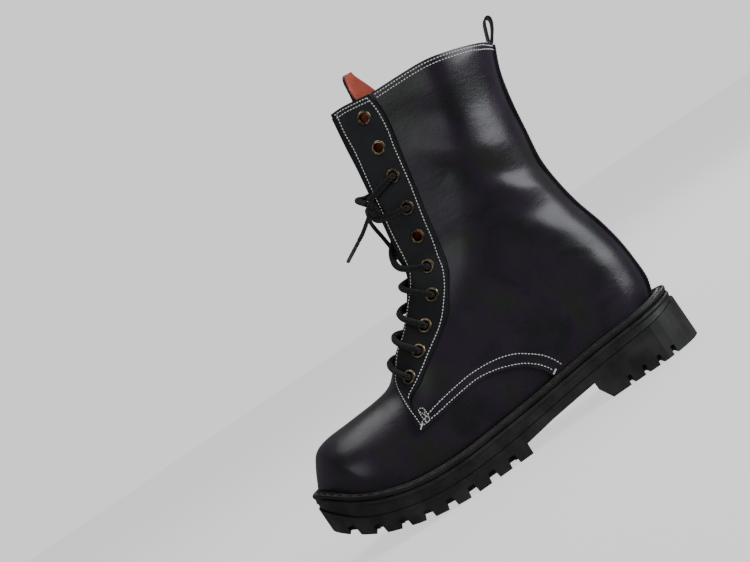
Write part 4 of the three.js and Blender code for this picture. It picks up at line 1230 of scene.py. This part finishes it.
def make_outsole():
    """The frame's tread, with its moulded edges softened."""
    piece = bpy.data.objects.new("outsole_tread", bpy.data.objects["outsole"].data.copy())
    bpy.context.scene.collection.objects.link(piece)
    piece.data.materials.clear()
    piece.data.materials.append(sole_rubber)
    piece.data.polygons.foreach_set("use_smooth", [True] * len(piece.data.polygons))
    sharpen(piece, 30)
    edge = piece.modifiers.new("edge", "BEVEL")
    edge.width = 0.0005
    edge.segments = 2
    edge.limit_method = "ANGLE"
    edge.angle_limit = math.radians(35)
    keep(piece, "sole_rubber", "outsole")


make_lace()
make_pull_loop()
make_welt()
make_midsole()
make_outsole()

CAD_MATERIALS = {
    "midsole": sole_rubber, "bottom_filler": cork, "insole_board": board,
    "sock_liner": sock_fabric, "shank": shank_metal, "toe_puff": board, "heel_counter": board,
}
for cad_name, cad_material in CAD_MATERIALS.items():
    cad_object = bpy.data.objects[cad_name]
    if not cad_object.material_slots:
        cad_object.data.materials.append(None)
    for material_slot in cad_object.material_slots:
        material_slot.link = "OBJECT"
        material_slot.material = cad_material


# ---------- floor and light ----------

WORLD_LIGHT, WORLD_SEEN = 0.13, 1.12
FLOOR_GLOW = 0.96


def make_stage():
    mesh = bpy.data.meshes.new("floor")
    mesh.from_pydata([(-6, -6, 0), (6, -6, 0), (6, 6, 0), (-6, 6, 0)], [], [(0, 1, 2, 3)])
    floor = bpy.data.objects.new("floor", mesh)
    bpy.context.scene.collection.objects.link(floor)
    pale = Shade("pale_floor", Specular_IOR_Level=0.1)
    pale.set("Base Color", pale.steps(pale.noise(1.5), (0.3, (0.28, 0.28, 0.28)), (0.7, (0.3, 0.3, 0.298))))
    pale.set("Roughness", pale.steps(pale.noise(9), (0.3, 0.85), (0.7, 0.95)))
    pale.shader.inputs["Emission Color"].default_value = (1, 1, 1, 1)
    pale.shader.inputs["Emission Strength"].default_value = FLOOR_GLOW
    mesh.materials.append(pale.material)
    floor.visible_glossy = False
    world = bpy.data.worlds.new("studio")
    bpy.context.scene.world = world
    world.use_nodes = True
    tree = world.node_tree
    seen = tree.nodes.new("ShaderNodeLightPath").outputs["Is Camera Ray"]
    strength = tree.nodes.new("ShaderNodeMix")
    strength.inputs[2].default_value = WORLD_LIGHT
    strength.inputs[3].default_value = WORLD_SEEN
    tree.links.new(seen, strength.inputs[0])
    tree.links.new(strength.outputs[0], tree.nodes["Background"].inputs["Strength"])
    tree.nodes["Background"].inputs["Color"].default_value = (0.985, 0.99, 1.0, 1)


def area_light(name, place, target, size, energy, colour=(1, 1, 1)):
    data = bpy.data.lights.new(name, "AREA")
    data.shape = "RECTANGLE"
    data.size, data.size_y = size
    data.energy = energy
    data.color = colour
    light = bpy.data.objects.new(name, data)
    light.location = place
    light.rotation_euler = (Vector(target) - Vector(place)).to_track_quat("-Z", "Y").to_euler()
    bpy.context.scene.collection.objects.link(light)


make_stage()
area_light("key", (1.4, -0.6, 0.7), (0.08, 0, 0.17), (1.1, 1.5), 24, (0.93, 0.96, 1.0))
area_light("fill", (-1.2, -1.3, 0.9), (-0.05, 0, 0.12), (0.9, 0.9), 3.5, (0.92, 0.96, 1.0))
area_light("top", (0.1, 0.2, 1.7), (0, 0, 0.1), (1.4, 1.4), 14)
area_light("rear", (0.9, 1.1, 0.9), (0, 0, 0.15), (0.8, 0.8), 9)

bpy.context.view_layer.update()
